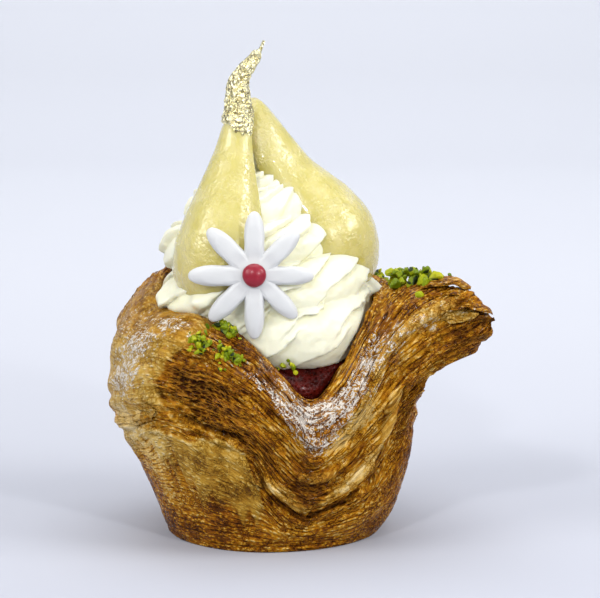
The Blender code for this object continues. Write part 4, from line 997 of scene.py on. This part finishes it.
# ---------------------------------------------------------------- pistachios
def ball(level):
    """Points and triangles of a ball from an icosahedron, split level times."""
    g = (1 + 5**0.5) / 2
    points = np.array([(-1, g, 0), (1, g, 0), (-1, -g, 0), (1, -g, 0), (0, -1, g), (0, 1, g), (0, -1, -g),
                       (0, 1, -g), (g, 0, -1), (g, 0, 1), (-g, 0, -1), (-g, 0, 1)], float)
    faces = np.array([(0, 11, 5), (0, 5, 1), (0, 1, 7), (0, 7, 10), (0, 10, 11), (1, 5, 9), (5, 11, 4),
                      (11, 10, 2), (10, 7, 6), (7, 1, 8), (3, 9, 4), (3, 4, 2), (3, 2, 6), (3, 6, 8),
                      (3, 8, 9), (4, 9, 5), (2, 4, 11), (6, 2, 10), (8, 6, 7), (9, 8, 1)])
    points /= np.linalg.norm(points, axis=1, keepdims=True)
    for _ in range(level):
        edges = np.sort(np.concatenate((faces[:, [0, 1]], faces[:, [1, 2]], faces[:, [2, 0]])), axis=1)
        unique, back = np.unique(edges, axis=0, return_inverse=True)
        middle = points[unique].mean(axis=1)
        middle /= np.linalg.norm(middle, axis=1, keepdims=True)
        ab, bc, ca = (len(points) + back.reshape(3, -1))
        a, b, c = faces.T
        corners = ((a, ab, ca), (b, bc, ab), (c, ca, bc), (ab, bc, ca))
        faces = np.concatenate([np.stack(three, axis=1) for three in corners])
        points = np.concatenate((points, middle))
    return points, faces


def turned(rng, count):
    """Random turning matrices, one for each piece: unit quaternions made matrices."""
    w, x, y, z = rng.normal(size=(count, 4)).T
    n = np.sqrt(w * w + x * x + y * y + z * z)
    w, x, y, z = w / n, x / n, y / n, z / n
    rows = (1 - 2 * (y * y + z * z), 2 * (x * y - z * w), 2 * (x * z + y * w),
            2 * (x * y + z * w), 1 - 2 * (x * x + z * z), 2 * (y * z - x * w),
            2 * (x * z - y * w), 2 * (y * z + x * w), 1 - 2 * (x * x + y * y))
    return np.stack(rows, axis=-1).reshape(-1, 3, 3)


def nuggets(name, centres, sizes, seed, level=2):
    """Chopped nuts: balls cut by a few random planes, so that they have flat faces.

    Each point of a ball is pulled in to the nearest plane. Some pieces keep
    their skin on one side, and each has its own tint.
    """
    rng = np.random.default_rng(seed)
    count = len(centres)
    points, faces = ball(level)
    planes = rng.normal(size=(count, NUT_PLANES, 3))
    planes /= np.linalg.norm(planes, axis=-1, keepdims=True)
    depth = rng.uniform(*NUT_DEPTHS, size=(count, NUT_PLANES))
    facing = np.einsum("nkc,vc->nkv", planes, points)
    reach = np.min(np.where(facing > 1e-3, depth[..., None] / np.maximum(facing, 1e-3), 9.0), axis=1)
    reach = np.minimum(reach, NUT_REACH)
    shape = points[None] * reach[..., None]
    shape = shape * rng.uniform(*NUT_SIDES, size=(count, 3))[:, None]
    shape = np.einsum("nij,nvj->nvi", turned(rng, count), shape) * np.asarray(sizes)[:, None, None]
    placed = (shape + np.asarray(centres)[:, None]).reshape(-1, 3)
    every = (faces[None] + (np.arange(count) * len(points))[:, None, None]).reshape(-1, 3)
    mesh = mesh_from_arrays(name, placed, [every])
    mesh.set_sharp_from_angle(angle=math.radians(NUT_SHARP))
    tint = np.repeat(rng.uniform(0, 1, count), len(points))
    skin_side = np.einsum("nc,vc->nv", planes[:, 0], points).ravel()
    skinned = ease(skin_side, *NUT_SKIN_SIDE) * np.repeat(rng.uniform(0, 1, count) < NUT_SKINNED, len(points))
    keep_attribute(mesh, "tint", tint)
    keep_attribute(mesh, "nut_skin", skinned)
    return add_object(name, mesh)


def pistachios(box):
    """The nuts on the rim: the solid's nuggets, with finer crumbs round them."""
    rng = np.random.default_rng(7)
    centres, sizes = [], []
    for angle, ring, wide, deep, count, mean in CRUMB_CLUSTERS:
        for _ in range(count):
            at, normal = on_the_cup(angle + wide * rng.uniform(-1, 1), ring + deep * rng.uniform(-1, 1))
            radius = mean * rng.uniform(0.75, 1.3)
            rng.uniform(0, 1, size=NUT_SPARE_DRAWS)
            centres.append(at + CRUMB_SINK * radius * normal)
            sizes.append(radius)
    fine = np.random.default_rng(8)
    for angle, ring, wide, deep, count, mean in CRUMB_CLUSTERS:
        for _ in range(CRUMBS_ROUND * count):
            at, normal = on_the_cup(angle + CRUMB_SPREAD[0] * wide * fine.normal(),
                                    ring + CRUMB_SPREAD[1] * deep * fine.normal())
            radius = mean * fine.uniform(0.22, 0.75)
            lift = fine.uniform(0.3, 0.7) * radius + (fine.uniform() < 0.5) * 1.3 * mean
            centres.append(at + lift * normal)
            sizes.append(radius)
    for x, y, z in STRAY_CRUMBS:
        for _ in range(STRAY_COUNT):
            centres.append(np.array((x, y, z)) + fine.normal(size=3) * STRAY_SPREAD)
            sizes.append(fine.uniform(0.4, 0.95))
    return nuggets("chopped_pistachios", kept_in(np.array(centres), box, NUT_MARGIN), sizes, 9)


# ------------------------------------------------------------------ materials
class Wiring:
    """Adds nodes to one tree: each call makes a node, wires its inputs and gives its output."""

    def __init__(self, tree):
        self.tree = tree
        self.nodes = tree.nodes
        self.column = 0

    def wire(self, socket, value):
        """Connect an output to a socket, or set the socket to a plain value."""
        if isinstance(value, bpy.types.NodeSocket):
            self.tree.links.new(value, socket)
        elif value is not None:
            if isinstance(value, tuple) and len(value) == 3 and socket.type == "RGBA":
                value = (*value, 1.0)
            socket.default_value = value

    def node(self, kind, inputs=(), out=0, **settings):
        made = self.nodes.new(kind)
        self.column += 1
        made.location = (180 * (self.column % 12), -220 * (self.column // 12))
        for key, value in settings.items():
            setattr(made, key, value)
        pairs = inputs.items() if isinstance(inputs, dict) else enumerate(inputs)
        for key, value in pairs:
            self.wire(made.inputs[key], value)
        return made.outputs[out]

    def math(self, operation, *values, clamp=False):
        return self.node("ShaderNodeMath", values, operation=operation, use_clamp=clamp)

    def times(self, *values, clamp=False):
        return self.math("MULTIPLY", *values, clamp=clamp)

    def plus(self, *values, clamp=False):
        return self.math("ADD", *values, clamp=clamp)

    def minus(self, *values):
        return self.math("SUBTRACT", *values)

    def weighted(self, *pairs):
        """Sum of values, each times its share."""
        total = self.times(*pairs[0])
        for pair in pairs[1:]:
            total = self.plus(total, self.times(*pair))
        return total

    def vector(self, operation, *values):
        return self.node("ShaderNodeVectorMath", values, operation=operation)

    def scaled(self, vector, share):
        """A vector times one number."""
        return self.node("ShaderNodeVectorMath", {0: vector, "Scale": share}, operation="SCALE")

    def axis(self, vector, number):
        """One of a vector's three numbers."""
        return self.node("ShaderNodeSeparateXYZ", (vector,), out=number)

    def attribute(self, name, vector=False):
        return self.node("ShaderNodeAttribute", out="Vector" if vector else "Fac", attribute_name=name)

    def place(self):
        """The object's own coordinates in mm."""
        return self.scaled(self.node("ShaderNodeTexCoord", out="Object"), 1 / MM)

    def noise(self, vector, size, detail=2.0, rough=0.5, out="Fac", twist=0.0):
        """Noise of a size in the vector's own units."""
        return self.node("ShaderNodeTexNoise", {"Vector": vector, "Scale": 1 / size, "Detail": detail,
                                                "Roughness": rough, "Distortion": twist}, out=out)

    def cells(self, vector, size, feature="F1", out="Distance", rand=1.0):
        return self.node("ShaderNodeTexVoronoi", {"Vector": vector, "Scale": 1 / size, "Randomness": rand},
                         out=out, feature=feature)

    def span(self, value, low, high, to_low=0.0, to_high=1.0, kind="SMOOTHSTEP"):
        """Map from low to high onto new ends, clamped and soft."""
        return self.node("ShaderNodeMapRange", {"Value": value, "From Min": low, "From Max": high,
                                                "To Min": to_low, "To Max": to_high},
                         interpolation_type=kind)

    def mix(self, factor, a, b, blend="MIX"):
        made = self.nodes.new("ShaderNodeMix")
        made.data_type, made.blend_type, made.clamp_factor = "RGBA", blend, True
        for socket, value in ((made.inputs[0], factor), (made.inputs[6], a), (made.inputs[7], b)):
            self.wire(socket, value)
        return made.outputs[2]

    def mix_number(self, factor, a, b):
        made = self.nodes.new("ShaderNodeMix")
        made.data_type = "FLOAT"
        for socket, value in ((made.inputs[0], factor), (made.inputs[2], a), (made.inputs[3], b)):
            self.wire(socket, value)
        return made.outputs[0]

    def stops(self, factor, *stops):
        """Colours at places from 0 to 1 along a ramp."""
        made = self.nodes.new("ShaderNodeValToRGB")
        band = made.color_ramp
        while len(band.elements) < len(stops):
            band.elements.new(1.0)
        for element, (at, colour) in zip(band.elements, stops):
            element.position, element.color = at, (*colour, 1.0)
        self.wire(made.inputs[0], factor)
        return made.outputs[0]

    def bump(self, height, strength, distance, normal=None):
        """A bump of that many mm."""
        return self.node("ShaderNodeBump", {"Height": height, "Strength": strength, "Distance": distance * MM,
                                            "Normal": normal})

    def group(self, tree, inputs, out):
        made = self.nodes.new("ShaderNodeGroup")
        made.node_tree = tree
        for key, value in inputs.items():
            self.wire(made.inputs[key], value)
        return made.outputs[out] if isinstance(out, str) else [made.outputs[o] for o in out]


def new_material(name, constants):
    """A material whose Principled shader has these constants; gives it, its wiring and the shader."""
    mat = bpy.data.materials.new(name)
    mat.use_nodes = True
    shader = mat.node_tree.nodes["Principled BSDF"]
    for key, value in constants.items():
        shader.inputs[key].default_value = value
    return mat, Wiring(mat.node_tree), shader


def new_group(name, inputs, outputs):
    """An empty node group with named sockets; gives it, its wiring, its inputs and its outputs."""
    tree = bpy.data.node_groups.new(name, "ShaderNodeTree")
    for key, kind in inputs:
        tree.interface.new_socket(key, in_out="INPUT", socket_type="NodeSocket" + kind)
    for key, kind in outputs:
        tree.interface.new_socket(key, in_out="OUTPUT", socket_type="NodeSocket" + kind)
    given, made = tree.nodes.new("NodeGroupInput"), tree.nodes.new("NodeGroupOutput")
    return tree, Wiring(tree), given.outputs, made.inputs


PATTERN = ("Wall", "Hole", "Line", "Gap")      # the outputs of both groups for the dough's layers


def sheet_pattern_group():
    """Cells and lines of the dough at one count of sheets.

    Cells are drawn out along the sheets; walls are thin where two meet, and a
    random share of them is open, for painted shade inside. Lines are small pillows and long waves.
    """
    tree, w, given, made = new_group(
        "dough_sheets", (("Flow", "Vector"), ("Count", "Float")), [(name, "Float") for name in PATTERN])
    sheet = w.times(w.axis(given["Flow"], 2), given["Count"])
    flat = w.vector("MULTIPLY", given["Flow"], (1.0, 1.0, 0.0))
    place = w.node("ShaderNodeCombineXYZ", (None, None, sheet))
    place = w.vector("ADD", flat, place)
    drawn = w.vector("MULTIPLY", place, (0.50, 0.50, 2.1))
    drawn = w.vector("ADD", drawn, w.scaled(w.noise(drawn, 2.2, 2.0, out="Color"), 0.9))
    wall = w.span(w.cells(drawn, 1.0, "DISTANCE_TO_EDGE"), 0.03, 0.20, 1.0, 0.0)
    own = w.axis(w.cells(drawn, 1.0, "F1", "Color"), 0)
    deep = w.span(w.cells(drawn, 1.0, "F1"), 0.15, 0.62, 1.0, 0.0)
    hole = w.times(deep, w.span(own, 0.30, 0.62))
    crumbly = w.vector("MULTIPLY", place, (0.62, 0.62, 1.55))
    bent = w.vector("ADD", crumbly, w.scaled(w.noise(crumbly, 1.3, 2.0, out="Color"), 1.1))
    pillow = w.span(w.cells(bent, 1.0), 0.05, 0.62, 1.0, 0.0)
    long = w.noise(w.vector("MULTIPLY", place, (0.24, 0.24, 1.35)), 1.0, 1.0, 0.5)
    w.wire(made["Wall"], wall)
    w.wire(made["Hole"], hole)
    w.wire(made["Line"], w.weighted((pillow, 0.40), (long, 0.72)))
    off = w.math("ABSOLUTE", w.minus(w.math("FRACT", sheet), 0.5))
    run = w.span(w.noise(w.vector("MULTIPLY", place, (0.20, 0.20, 0.8)), 1.0, 2.0, 0.5), 0.36, 0.60)
    w.wire(made["Gap"], w.times(w.span(off, 0.30, 0.47), run))
    return tree


def cut_layers_group(pattern):
    """The dough's pattern at any width of sheet: a coarse and a twice finer count, mixed."""
    tree, w, given, made = new_group(
        "cut_layers", (("Flow", "Vector"), ("Fineness", "Float")), [(name, "Float") for name in PATTERN])
    whole = w.math("FLOOR", given["Fineness"])
    share = w.span(w.minus(given["Fineness"], whole), 0.35, 0.65)
    coarse = w.math("POWER", 2.0, whole)
    fine = w.times(coarse, 2.0)
    a = w.group(pattern, {"Flow": given["Flow"], "Count": coarse}, PATTERN)
    b = w.group(pattern, {"Flow": given["Flow"], "Count": fine}, PATTERN)
    for key, one, two in zip(PATTERN, a, b):
        w.wire(made[key], w.mix_number(share, one, two))
    return tree


def dusting_group():
    """Where icing sugar lies: a thin haze, and crisp white on ridges and in crumbs."""
    tree, w, given, made = new_group(
        "icing_sugar", (("Place", "Vector"), ("Ridge", "Float"), ("Amount", "Float")),
        (("Cover", "Float"), ("Grain", "Float")))
    place, amount = given["Place"], given["Amount"]
    patch = w.noise(place, 3.4, 4.0, 0.62, twist=0.6)
    haze = w.times(w.span(w.plus(patch, w.times(amount, 0.22)), 0.62, 0.92), 0.14)
    squiggle = w.math("ABSOLUTE", w.minus(w.noise(place, 2.0, 3.0, 0.55, twist=1.2), 0.5))
    squiggle = w.span(squiggle, 0.0, 0.07, 1.0, 0.0)
    grain = w.noise(place, 0.42, 3.0, 0.7)
    score = w.weighted((given["Ridge"], 0.42), (squiggle, 0.26), (grain, 0.62), (patch, 0.30))
    limit = w.span(amount, 0.0, 1.0, 1.10, 0.63, kind="LINEAR")
    crisp = w.span(w.minus(score, limit), 0.0, 0.07)
    shown = w.math("MAXIMUM", w.times(haze, w.span(grain, 0.3, 0.6, 0.5, 1.0)), crisp)
    w.wire(made["Cover"], w.times(shown, w.span(amount, 0.03, 0.3)))
    w.wire(made["Grain"], grain)
    return tree


def crackle_group():
    """Fine cracks of the baked skin: 1 along the edges of small drawn-out cells, in patches."""
    tree, w, given, made = new_group("crackle", (("Place", "Vector"),), (("Crack", "Float"),))
    place = given["Place"]
    bent = w.vector("ADD", place, w.scaled(w.noise(place, 1.6, 2.0, out="Color"), 1.7))
    near = w.span(w.cells(bent, 1.5, "DISTANCE_TO_EDGE"), 0.0, 0.10, 1.0, 0.0)
    small = w.span(w.cells(bent, 0.7, "DISTANCE_TO_EDGE"), 0.0, 0.12, 0.6, 0.0)
    where = w.span(w.noise(place, 5.0, 2.0), 0.36, 0.60)
    w.wire(made["Crack"], w.times(w.math("MAXIMUM", near, small), where))
    return tree


# colours at places from 0 to 1 along the dough's tone
CUT_TONES = ((0.15, (0.060, 0.013, 0.0006)), (0.34, (0.175, 0.048, 0.001)), (0.50, (0.35, 0.125, 0.002)),
             (0.68, (0.56, 0.265, 0.012)), (0.90, (0.80, 0.54, 0.17)))
SKIN_TONES = ((0.12, (0.085, 0.030, 0.002)), (0.34, (0.26, 0.120, 0.008)), (0.52, (0.44, 0.245, 0.030)),
              (0.70, (0.62, 0.42, 0.12)), (0.92, (0.78, 0.62, 0.33)))
WASH_TONES = ((0.12, (0.050, 0.013, 0.0006)), (0.36, (0.175, 0.055, 0.001)), (0.54, (0.36, 0.150, 0.004)),
              (0.72, (0.55, 0.29, 0.030)), (0.92, (0.76, 0.54, 0.20)))
# the hole and hollow colours are painted shade, nearly black, for where shade falls inside the dough
WALL_COLOUR, HOLE_SHADE_COLOUR, HOLLOW_SHADE_COLOUR = (0.54, 0.235, 0.022), (0.036, 0.007, 0.0006), (0.030, 0.008, 0.0006)
FRECKLE_COLOUR, SUGAR_COLOUR = (0.30, 0.110, 0.020), (0.95, 0.87, 0.77)


def pastry_material(layers, dusting, crackle):
    """Baked laminated dough: golden sheets with painted shade in their open cells, grooves, cracks and hollows,
    tan skin, egg wash, sugar.
    """
    mat, w, shader = new_material("baked_pastry", {"Specular IOR Level": 0.06, "Coat Roughness": 0.12})
    place, flow = w.place(), w.attribute("flow", True)
    wall, hole, line, gap = w.group(layers, {"Flow": flow, "Fineness": w.attribute("fineness")}, PATTERN)
    crack = w.group(crackle, {"Place": place}, "Crack")
    opened, skin = w.attribute("opened"), w.attribute("skin")
    glaze, bake_and_shade, hollow_shade = w.attribute("glaze"), w.attribute("bake_and_shade"), w.attribute("hollow_shade")
    blotch = w.noise(place, 7.0, 3.0, 0.55)
    speck = w.noise(place, 0.8, 4.0, 0.72)
    fibre = w.span(line, 0.28, 0.88, kind="LINEAR")

    # painted shade: the fine cracks darken the tone
    tone = w.weighted((fibre, 0.46), (blotch, 0.30), (speck, 0.30), (bake_and_shade, 0.26), (crack, -0.24))
    bare = w.mix_number(skin, 1.0, 0.25)
    # painted shade: the grooves between sheets darken the tone where the dough is bare
    tone = w.minus(tone, w.times(w.times(gap, 0.20), bare))
    tone = w.plus(tone, 0.045)
    tone = w.times(w.minus(tone, 0.5), w.mix_number(skin, 1.3, 0.85))
    tone = w.plus(tone, w.mix_number(skin, 0.60, 0.57), clamp=True)
    cut = w.stops(tone, *CUT_TONES)
    cut = w.mix(w.times(wall, w.times(opened, 0.55)), cut, WALL_COLOUR)
    # painted shade: the open cells are painted nearly black
    cut = w.mix(w.times(hole, w.times(opened, 0.95), clamp=True), cut, HOLE_SHADE_COLOUR)
    tan = w.stops(tone, *SKIN_TONES)
    freckle = w.span(w.noise(place, 1.2, 3.0, 0.6), 0.54, 0.68, 0.0, 0.55)
    tan = w.mix(w.times(freckle, w.span(w.axis(flow, 2), 4.6, 6.0)), tan, FRECKLE_COLOUR)
    brown = w.stops(tone, *WASH_TONES)
    colour = w.mix(skin, cut, tan)
    colour = w.mix(w.times(glaze, 0.8), colour, brown)
    # painted shade, nearly black, in the holes, sunken sheets and cracks
    colour = w.mix(w.times(hollow_shade, 0.8), colour, HOLLOW_SHADE_COLOUR)
    cover, grain = w.group(dusting, {"Place": place, "Ridge": fibre, "Amount": w.attribute("sugar")},
                           ("Cover", "Grain"))
    colour = w.mix(w.times(cover, 0.92), colour, SUGAR_COLOUR)
    w.wire(shader.inputs["Base Color"], colour)

    wet = w.span(w.noise(place, 2.4, 3.0, 0.6), 0.40, 0.58)
    glossy = w.times(wet, w.minus(1.0, w.times(skin, 0.6)))
    rough = w.mix_number(glossy, 0.46, 0.16)
    w.wire(shader.inputs["Roughness"], w.mix_number(cover, rough, 1.0))
    shine = w.times(wet, w.plus(w.times(glaze, 0.25), 0.06))
    w.wire(shader.inputs["Coat Weight"], w.times(shine, w.span(cover, 0.0, 0.5, 1.0, 0.0)))

    relief = w.times(w.weighted((wall, 0.5), (hole, -0.9)), w.plus(w.times(opened, 0.9), 0.06))
    relief = w.plus(relief, w.weighted((fibre, 1.0), (speck, 0.6), (crack, -0.45)))
    relief = w.minus(relief, w.times(w.times(gap, 0.7), bare))
    relief = w.plus(relief, w.times(cover, w.times(grain, 1.4)))
    w.wire(shader.inputs["Normal"], w.bump(relief, 1.0, 0.55))
    return mat


def cream_material():
    """Piped cream: satin, with light in its thin edges and painted yellow shade in its grooves."""
    mat, w, shader = new_material("piped_cream", {
        "Roughness": 0.42, "Subsurface Weight": 0.45, "Subsurface Scale": 1.6 * MM,
        "Subsurface Radius": (1.0, 0.85, 0.55)})
    place = w.place()
    deep = w.attribute("deep")
    blotch = w.noise(place, 5.0, 2.0)
    # painted shade: deeper in a groove, the cream is painted darker and yellower
    colour = w.mix(w.times(w.span(deep, 0.2, 1.0), 0.55), (0.77, 0.76, 0.585), (0.74, 0.705, 0.42))
    colour = w.mix(w.times(blotch, 0.25), colour, (0.83, 0.82, 0.67))
    w.wire(shader.inputs["Base Color"], colour)
    small = w.noise(place, 0.7, 3.0, 0.6)
    w.wire(shader.inputs["Normal"], w.bump(small, 0.35, 0.16))
    return mat


def pear_material():
    """Poached pear under syrup: translucent pale yellow with fibres and wet glints."""
    mat, w, shader = new_material("poached_pear", {
        "Roughness": 0.26, "Subsurface Weight": 0.6, "Subsurface Scale": 3.2 * MM,
        "Subsurface Radius": (1.0, 0.85, 0.30), "Coat Weight": 1.0, "Coat Roughness": 0.04})
    place = w.place()
    grain = w.attribute("grain", True)
    fibres = w.noise(w.vector("MULTIPLY", grain, (1.0, 1.0, 0.14)), 0.9, 3.0, 0.6)
    clouds = w.noise(place, 6.0, 3.0, 0.55)
    tone = w.weighted((fibres, 0.15), (clouds, 0.85))
    colour = w.stops(tone, (0.25, (0.46, 0.395, 0.09)), (0.5, (0.55, 0.485, 0.155)),
                     (0.75, (0.63, 0.565, 0.27)))
    low = w.span(w.attribute("along"), 0.55, 1.0)
    colour = w.mix(w.times(low, 0.45), colour, (0.50, 0.38, 0.06))
    w.wire(shader.inputs["Base Color"], colour)
    syrup = w.span(w.noise(place, 0.95, 2.0, 0.55), 0.42, 0.60)
    thick = w.span(w.noise(place, 6.5, 2.0), 0.42, 0.56, 0.15, 1.0)
    ripples = w.times(syrup, thick)
    flesh = w.plus(ripples, w.times(fibres, 0.15))
    w.wire(shader.inputs["Normal"], w.bump(flesh, 0.35, 0.25))
    w.wire(shader.inputs["Coat Normal"], w.bump(ripples, 1.0, 0.55))
    return mat


def jam_material():
    """Dark berry jam: nearly black red, wet, with grains that catch the light."""
    mat, w, shader = new_material("berry_jam", {
        "Roughness": 0.30, "Coat Weight": 0.04, "Coat Roughness": 0.12, "Specular IOR Level": 0.08,
        "Subsurface Weight": 0.1, "Subsurface Scale": 0.8 * MM, "Subsurface Radius": (1.0, 0.2, 0.1)})
    place = w.place()
    pulp = w.noise(place, 2.2, 3.0, 0.6)
    seeds = w.cells(place, 0.75)
    colour = w.stops(pulp, (0.3, (0.018, 0.0015, 0.001)), (0.55, (0.075, 0.005, 0.003)),
                     (0.8, (0.19, 0.014, 0.008)))
    w.wire(shader.inputs["Base Color"], colour)
    height = w.plus(w.span(seeds, 0.0, 0.5, 1.0, 0.0), w.times(pulp, 1.3))
    w.wire(shader.inputs["Normal"], w.bump(height, 1.0, 0.4))
    return mat


def gold_material():
    """Gold leaf: bright metal with fine creases, some painted dark as shade."""
    mat, w, shader = new_material("gold_leaf", {"Metallic": 1.0})
    place = w.place()
    crease = w.cells(place, 1.3, "DISTANCE_TO_EDGE")
    fine = w.noise(place, 0.9, 3.0, 0.6)
    colour = w.mix(w.noise(place, 1.3, 2.0), (0.95, 0.84, 0.40), (1.0, 0.97, 0.74))
    some = w.span(w.noise(place, 1.9, 2.0), 0.42, 0.58)
    # painted shade: some of the creases are painted dark brown
    crease_shade = w.times(w.span(crease, 0.0, 0.10, 0.9, 0.0), some)
    colour = w.mix(crease_shade, colour, (0.16, 0.11, 0.02))
    w.wire(shader.inputs["Base Color"], colour)
    w.wire(shader.inputs["Roughness"], w.span(fine, 0.3, 0.7, 0.12, 0.36))
    height = w.plus(w.span(crease, 0.0, 0.3), w.times(fine, 1.1))
    w.wire(shader.inputs["Normal"], w.bump(height, 1.0, 0.5))
    return mat


def sugar_paste_material():
    """White sugar paste: smooth, matt, with light that sinks in."""
    mat, w, shader = new_material("white_sugar_paste", {
        "Roughness": 0.48, "Subsurface Weight": 0.4, "Subsurface Scale": 1.2 * MM,
        "Subsurface Radius": (1.0, 0.95, 0.9)})
    place = w.place()
    cloud = w.noise(place, 4.0, 2.0)
    w.wire(shader.inputs["Base Color"], w.mix(cloud, (0.53, 0.537, 0.54), (0.565, 0.57, 0.572)))
    w.wire(shader.inputs["Normal"], w.bump(w.noise(place, 0.9, 2.0), 0.15, 0.1))
    return mat


def red_sugar_material():
    """Coloured sugar: deep pink red with a soft shine."""
    mat, w, shader = new_material("red_sugar", {
        "Roughness": 0.34, "Subsurface Weight": 0.25, "Subsurface Scale": 0.8 * MM,
        "Subsurface Radius": (1.0, 0.2, 0.25), "Coat Weight": 0.12, "Coat Roughness": 0.2,
        "Specular IOR Level": 0.3})
    place = w.place()
    colour = w.mix(w.noise(place, 1.6, 3.0), (0.19, 0.006, 0.015), (0.31, 0.015, 0.034))
    w.wire(shader.inputs["Base Color"], colour)
    w.wire(shader.inputs["Normal"], w.bump(w.noise(place, 0.8, 3.0), 0.3, 0.15))
    return mat


def nut_material():
    """Chopped pistachio: yellow-green flesh, dark green skin, slightly oily."""
    mat, w, shader = new_material("pistachio", {
        "Roughness": 0.36, "Specular IOR Level": 0.2, "Subsurface Weight": 0.15, "Subsurface Scale": 0.8 * MM,
        "Subsurface Radius": (0.6, 1.0, 0.2)})
    place = w.place()
    tint = w.attribute("tint")
    flesh = w.stops(tint, (0.0, (0.10, 0.16, 0.001)), (0.35, (0.21, 0.27, 0.001)), (0.7, (0.36, 0.40, 0.002)),
                    (1.0, (0.56, 0.53, 0.01)))
    flesh = w.mix(w.times(w.noise(place, 0.8, 3.0), 0.6), flesh, (0.06, 0.09, 0.001))
    colour = w.mix(w.attribute("nut_skin"), flesh, (0.014, 0.026, 0.006))
    w.wire(shader.inputs["Base Color"], colour)
    w.wire(shader.inputs["Normal"], w.bump(w.noise(place, 0.5, 3.0, 0.6), 0.5, 0.25))
    return mat


def floor_material():
    """Pale bluish-white studio paper, painted darker near the front and lighter further back, as painted shade
    and light.
    """
    mat, w, shader = new_material("studio_paper", {"Roughness": 0.75})
    place = w.place()
    # painted light and shade: the paper's colour runs from dark near the front to light far back
    away = w.span(w.axis(place, 1), -200.0, 760.0)
    away = w.plus(away, w.times(w.noise(place, 260.0, 2.0), 0.04))
    w.wire(shader.inputs["Base Color"], w.mix(away, (0.39, 0.405, 0.465), (0.92, 0.94, 1.0)))
    return mat


# -------------------------------------------------------------- studio
# in metres: (depth, height) along the paper, and its width
PAPER_RUN = ((-1.2, 0.0), (0.5, 0.0), (0.7, 0.0), (0.85, 0.03), (0.97, 0.12), (1.04, 0.27), (1.06, 0.5),
             (1.06, 1.6))
PAPER_WIDE = 3.2
# name, place, aim and side in metres, watts, colour
LAMPS = (("window_left", (-0.60, -0.40, 0.50), (0, 0, 0.05), 0.40, 3.5, (1.0, 0.98, 0.95)),
         ("window_right", (0.62, -0.22, 0.50), (0, 0, 0.05), 0.35, 3.3, (1.0, 0.99, 0.97)),
         ("ceiling", (0.0, 0.10, 0.80), (0, 0, 0.0), 0.7, 4.2, (1.0, 1.0, 1.0)),
         ("small_lamp", (-0.16, -0.55, 0.42), (0, 0, 0.07), 0.045, 1.1, (1.0, 1.0, 1.0)),
         ("small_lamp_right", (0.24, -0.42, 0.26), (0, 0, 0.07), 0.035, 0.85, (1.0, 1.0, 1.0)))
WORLD_COLOUR, WORLD_STRENGTH = (0.86, 0.90, 1.0), 0.36
# aim in mm, distance in metres, degrees down, lens and sensor in mm
CAMERA_AIM, CAMERA_AWAY, CAMERA_DOWN, LENS, SENSOR = (6.7, 0.0, 56.1), 0.65, 10.0, 162.5, 36.0


def studio():
    """A paper sweep, two windows, a ceiling light, two small lamps and a pale world."""
    across = np.linspace(-0.5 * PAPER_WIDE, 0.5 * PAPER_WIDE, 3)
    grid = np.array([[(x, y, z) for x in across] for y, z in PAPER_RUN]) / MM
    index = np.arange(grid.shape[0] * 3).reshape(-1, 3)
    quads = np.stack((index[:-1, :-1], index[:-1, 1:], index[1:, 1:], index[1:, :-1]), axis=-1).reshape(-1, 4)
    paper = add_object("paper_sweep", mesh_from_arrays("paper_sweep", grid.reshape(-1, 3), [quads]))
    paper.data.materials.append(floor_material())
    for name, at, aim, side, power, colour in LAMPS:
        lamp = bpy.data.lights.new(name, "AREA")
        lamp.size, lamp.energy, lamp.color = side, power, colour
        obj = add_object(name, lamp)
        obj.location = at
        obj.rotation_euler = (Vector(aim) - Vector(at)).to_track_quat("-Z", "Y").to_euler()
    world = bpy.data.worlds.new("pale_room")
    world.use_nodes = True
    background = world.node_tree.nodes["Background"].inputs
    background["Color"].default_value = (*WORLD_COLOUR, 1.0)
    background["Strength"].default_value = WORLD_STRENGTH
    bpy.context.scene.world = world


def camera():
    """The camera, level with the aim's turn and looking down at it."""
    down = math.radians(CAMERA_DOWN)
    lens = bpy.data.cameras.new("camera")
    lens.lens, lens.sensor_width = LENS, SENSOR
    obj = add_object("camera", lens)
    back = Vector((0.0, -math.cos(down), math.sin(down)))
    obj.location = Vector(CAMERA_AIM) * MM + CAMERA_AWAY * back
    obj.rotation_euler = (-back).to_track_quat("-Z", "Y").to_euler()
    bpy.context.scene.camera = obj


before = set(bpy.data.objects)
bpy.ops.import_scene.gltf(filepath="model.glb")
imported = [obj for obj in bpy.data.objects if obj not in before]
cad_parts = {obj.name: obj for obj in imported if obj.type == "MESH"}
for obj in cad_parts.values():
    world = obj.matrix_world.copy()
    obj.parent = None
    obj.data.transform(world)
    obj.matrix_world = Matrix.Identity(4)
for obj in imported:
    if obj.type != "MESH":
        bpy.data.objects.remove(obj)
cad_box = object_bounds()
bpy.context.scene.view_settings.view_transform = "Standard"
pastry = pastry_material(cut_layers_group(sheet_pattern_group()), dusting_group(), crackle_group())
nuts = nut_material()
pear = pear_material()
dress(crust(cad_box), pastry, "pastry", "pastry_shell")
dress(wall_flakes(), pastry, "pastry", "pastry_shell")
dress(corner_flakes(), pastry, "pastry", "pastry_shell")
dress(pistachios(cad_box), nuts, "pastry", "pastry_shell")
dress(jam(), jam_material(), "jam", "jam_filling")
dress(cream(), cream_material(), "cream", "cream_rosette")
dress(pear_half("pear_half_left", 101), pear, "pear", "pear_half_left")
dress(pear_half("pear_half_right", 111), pear, "pear", "pear_half_right")
dress(foil_stem(), gold_material(), "gold_leaf", "gilded_stem")
dress(petals(), sugar_paste_material(), "white_sugar", "daisy_petals")
dress(button(), red_sugar_material(), "red_sugar", "daisy_centre")
studio()
camera()
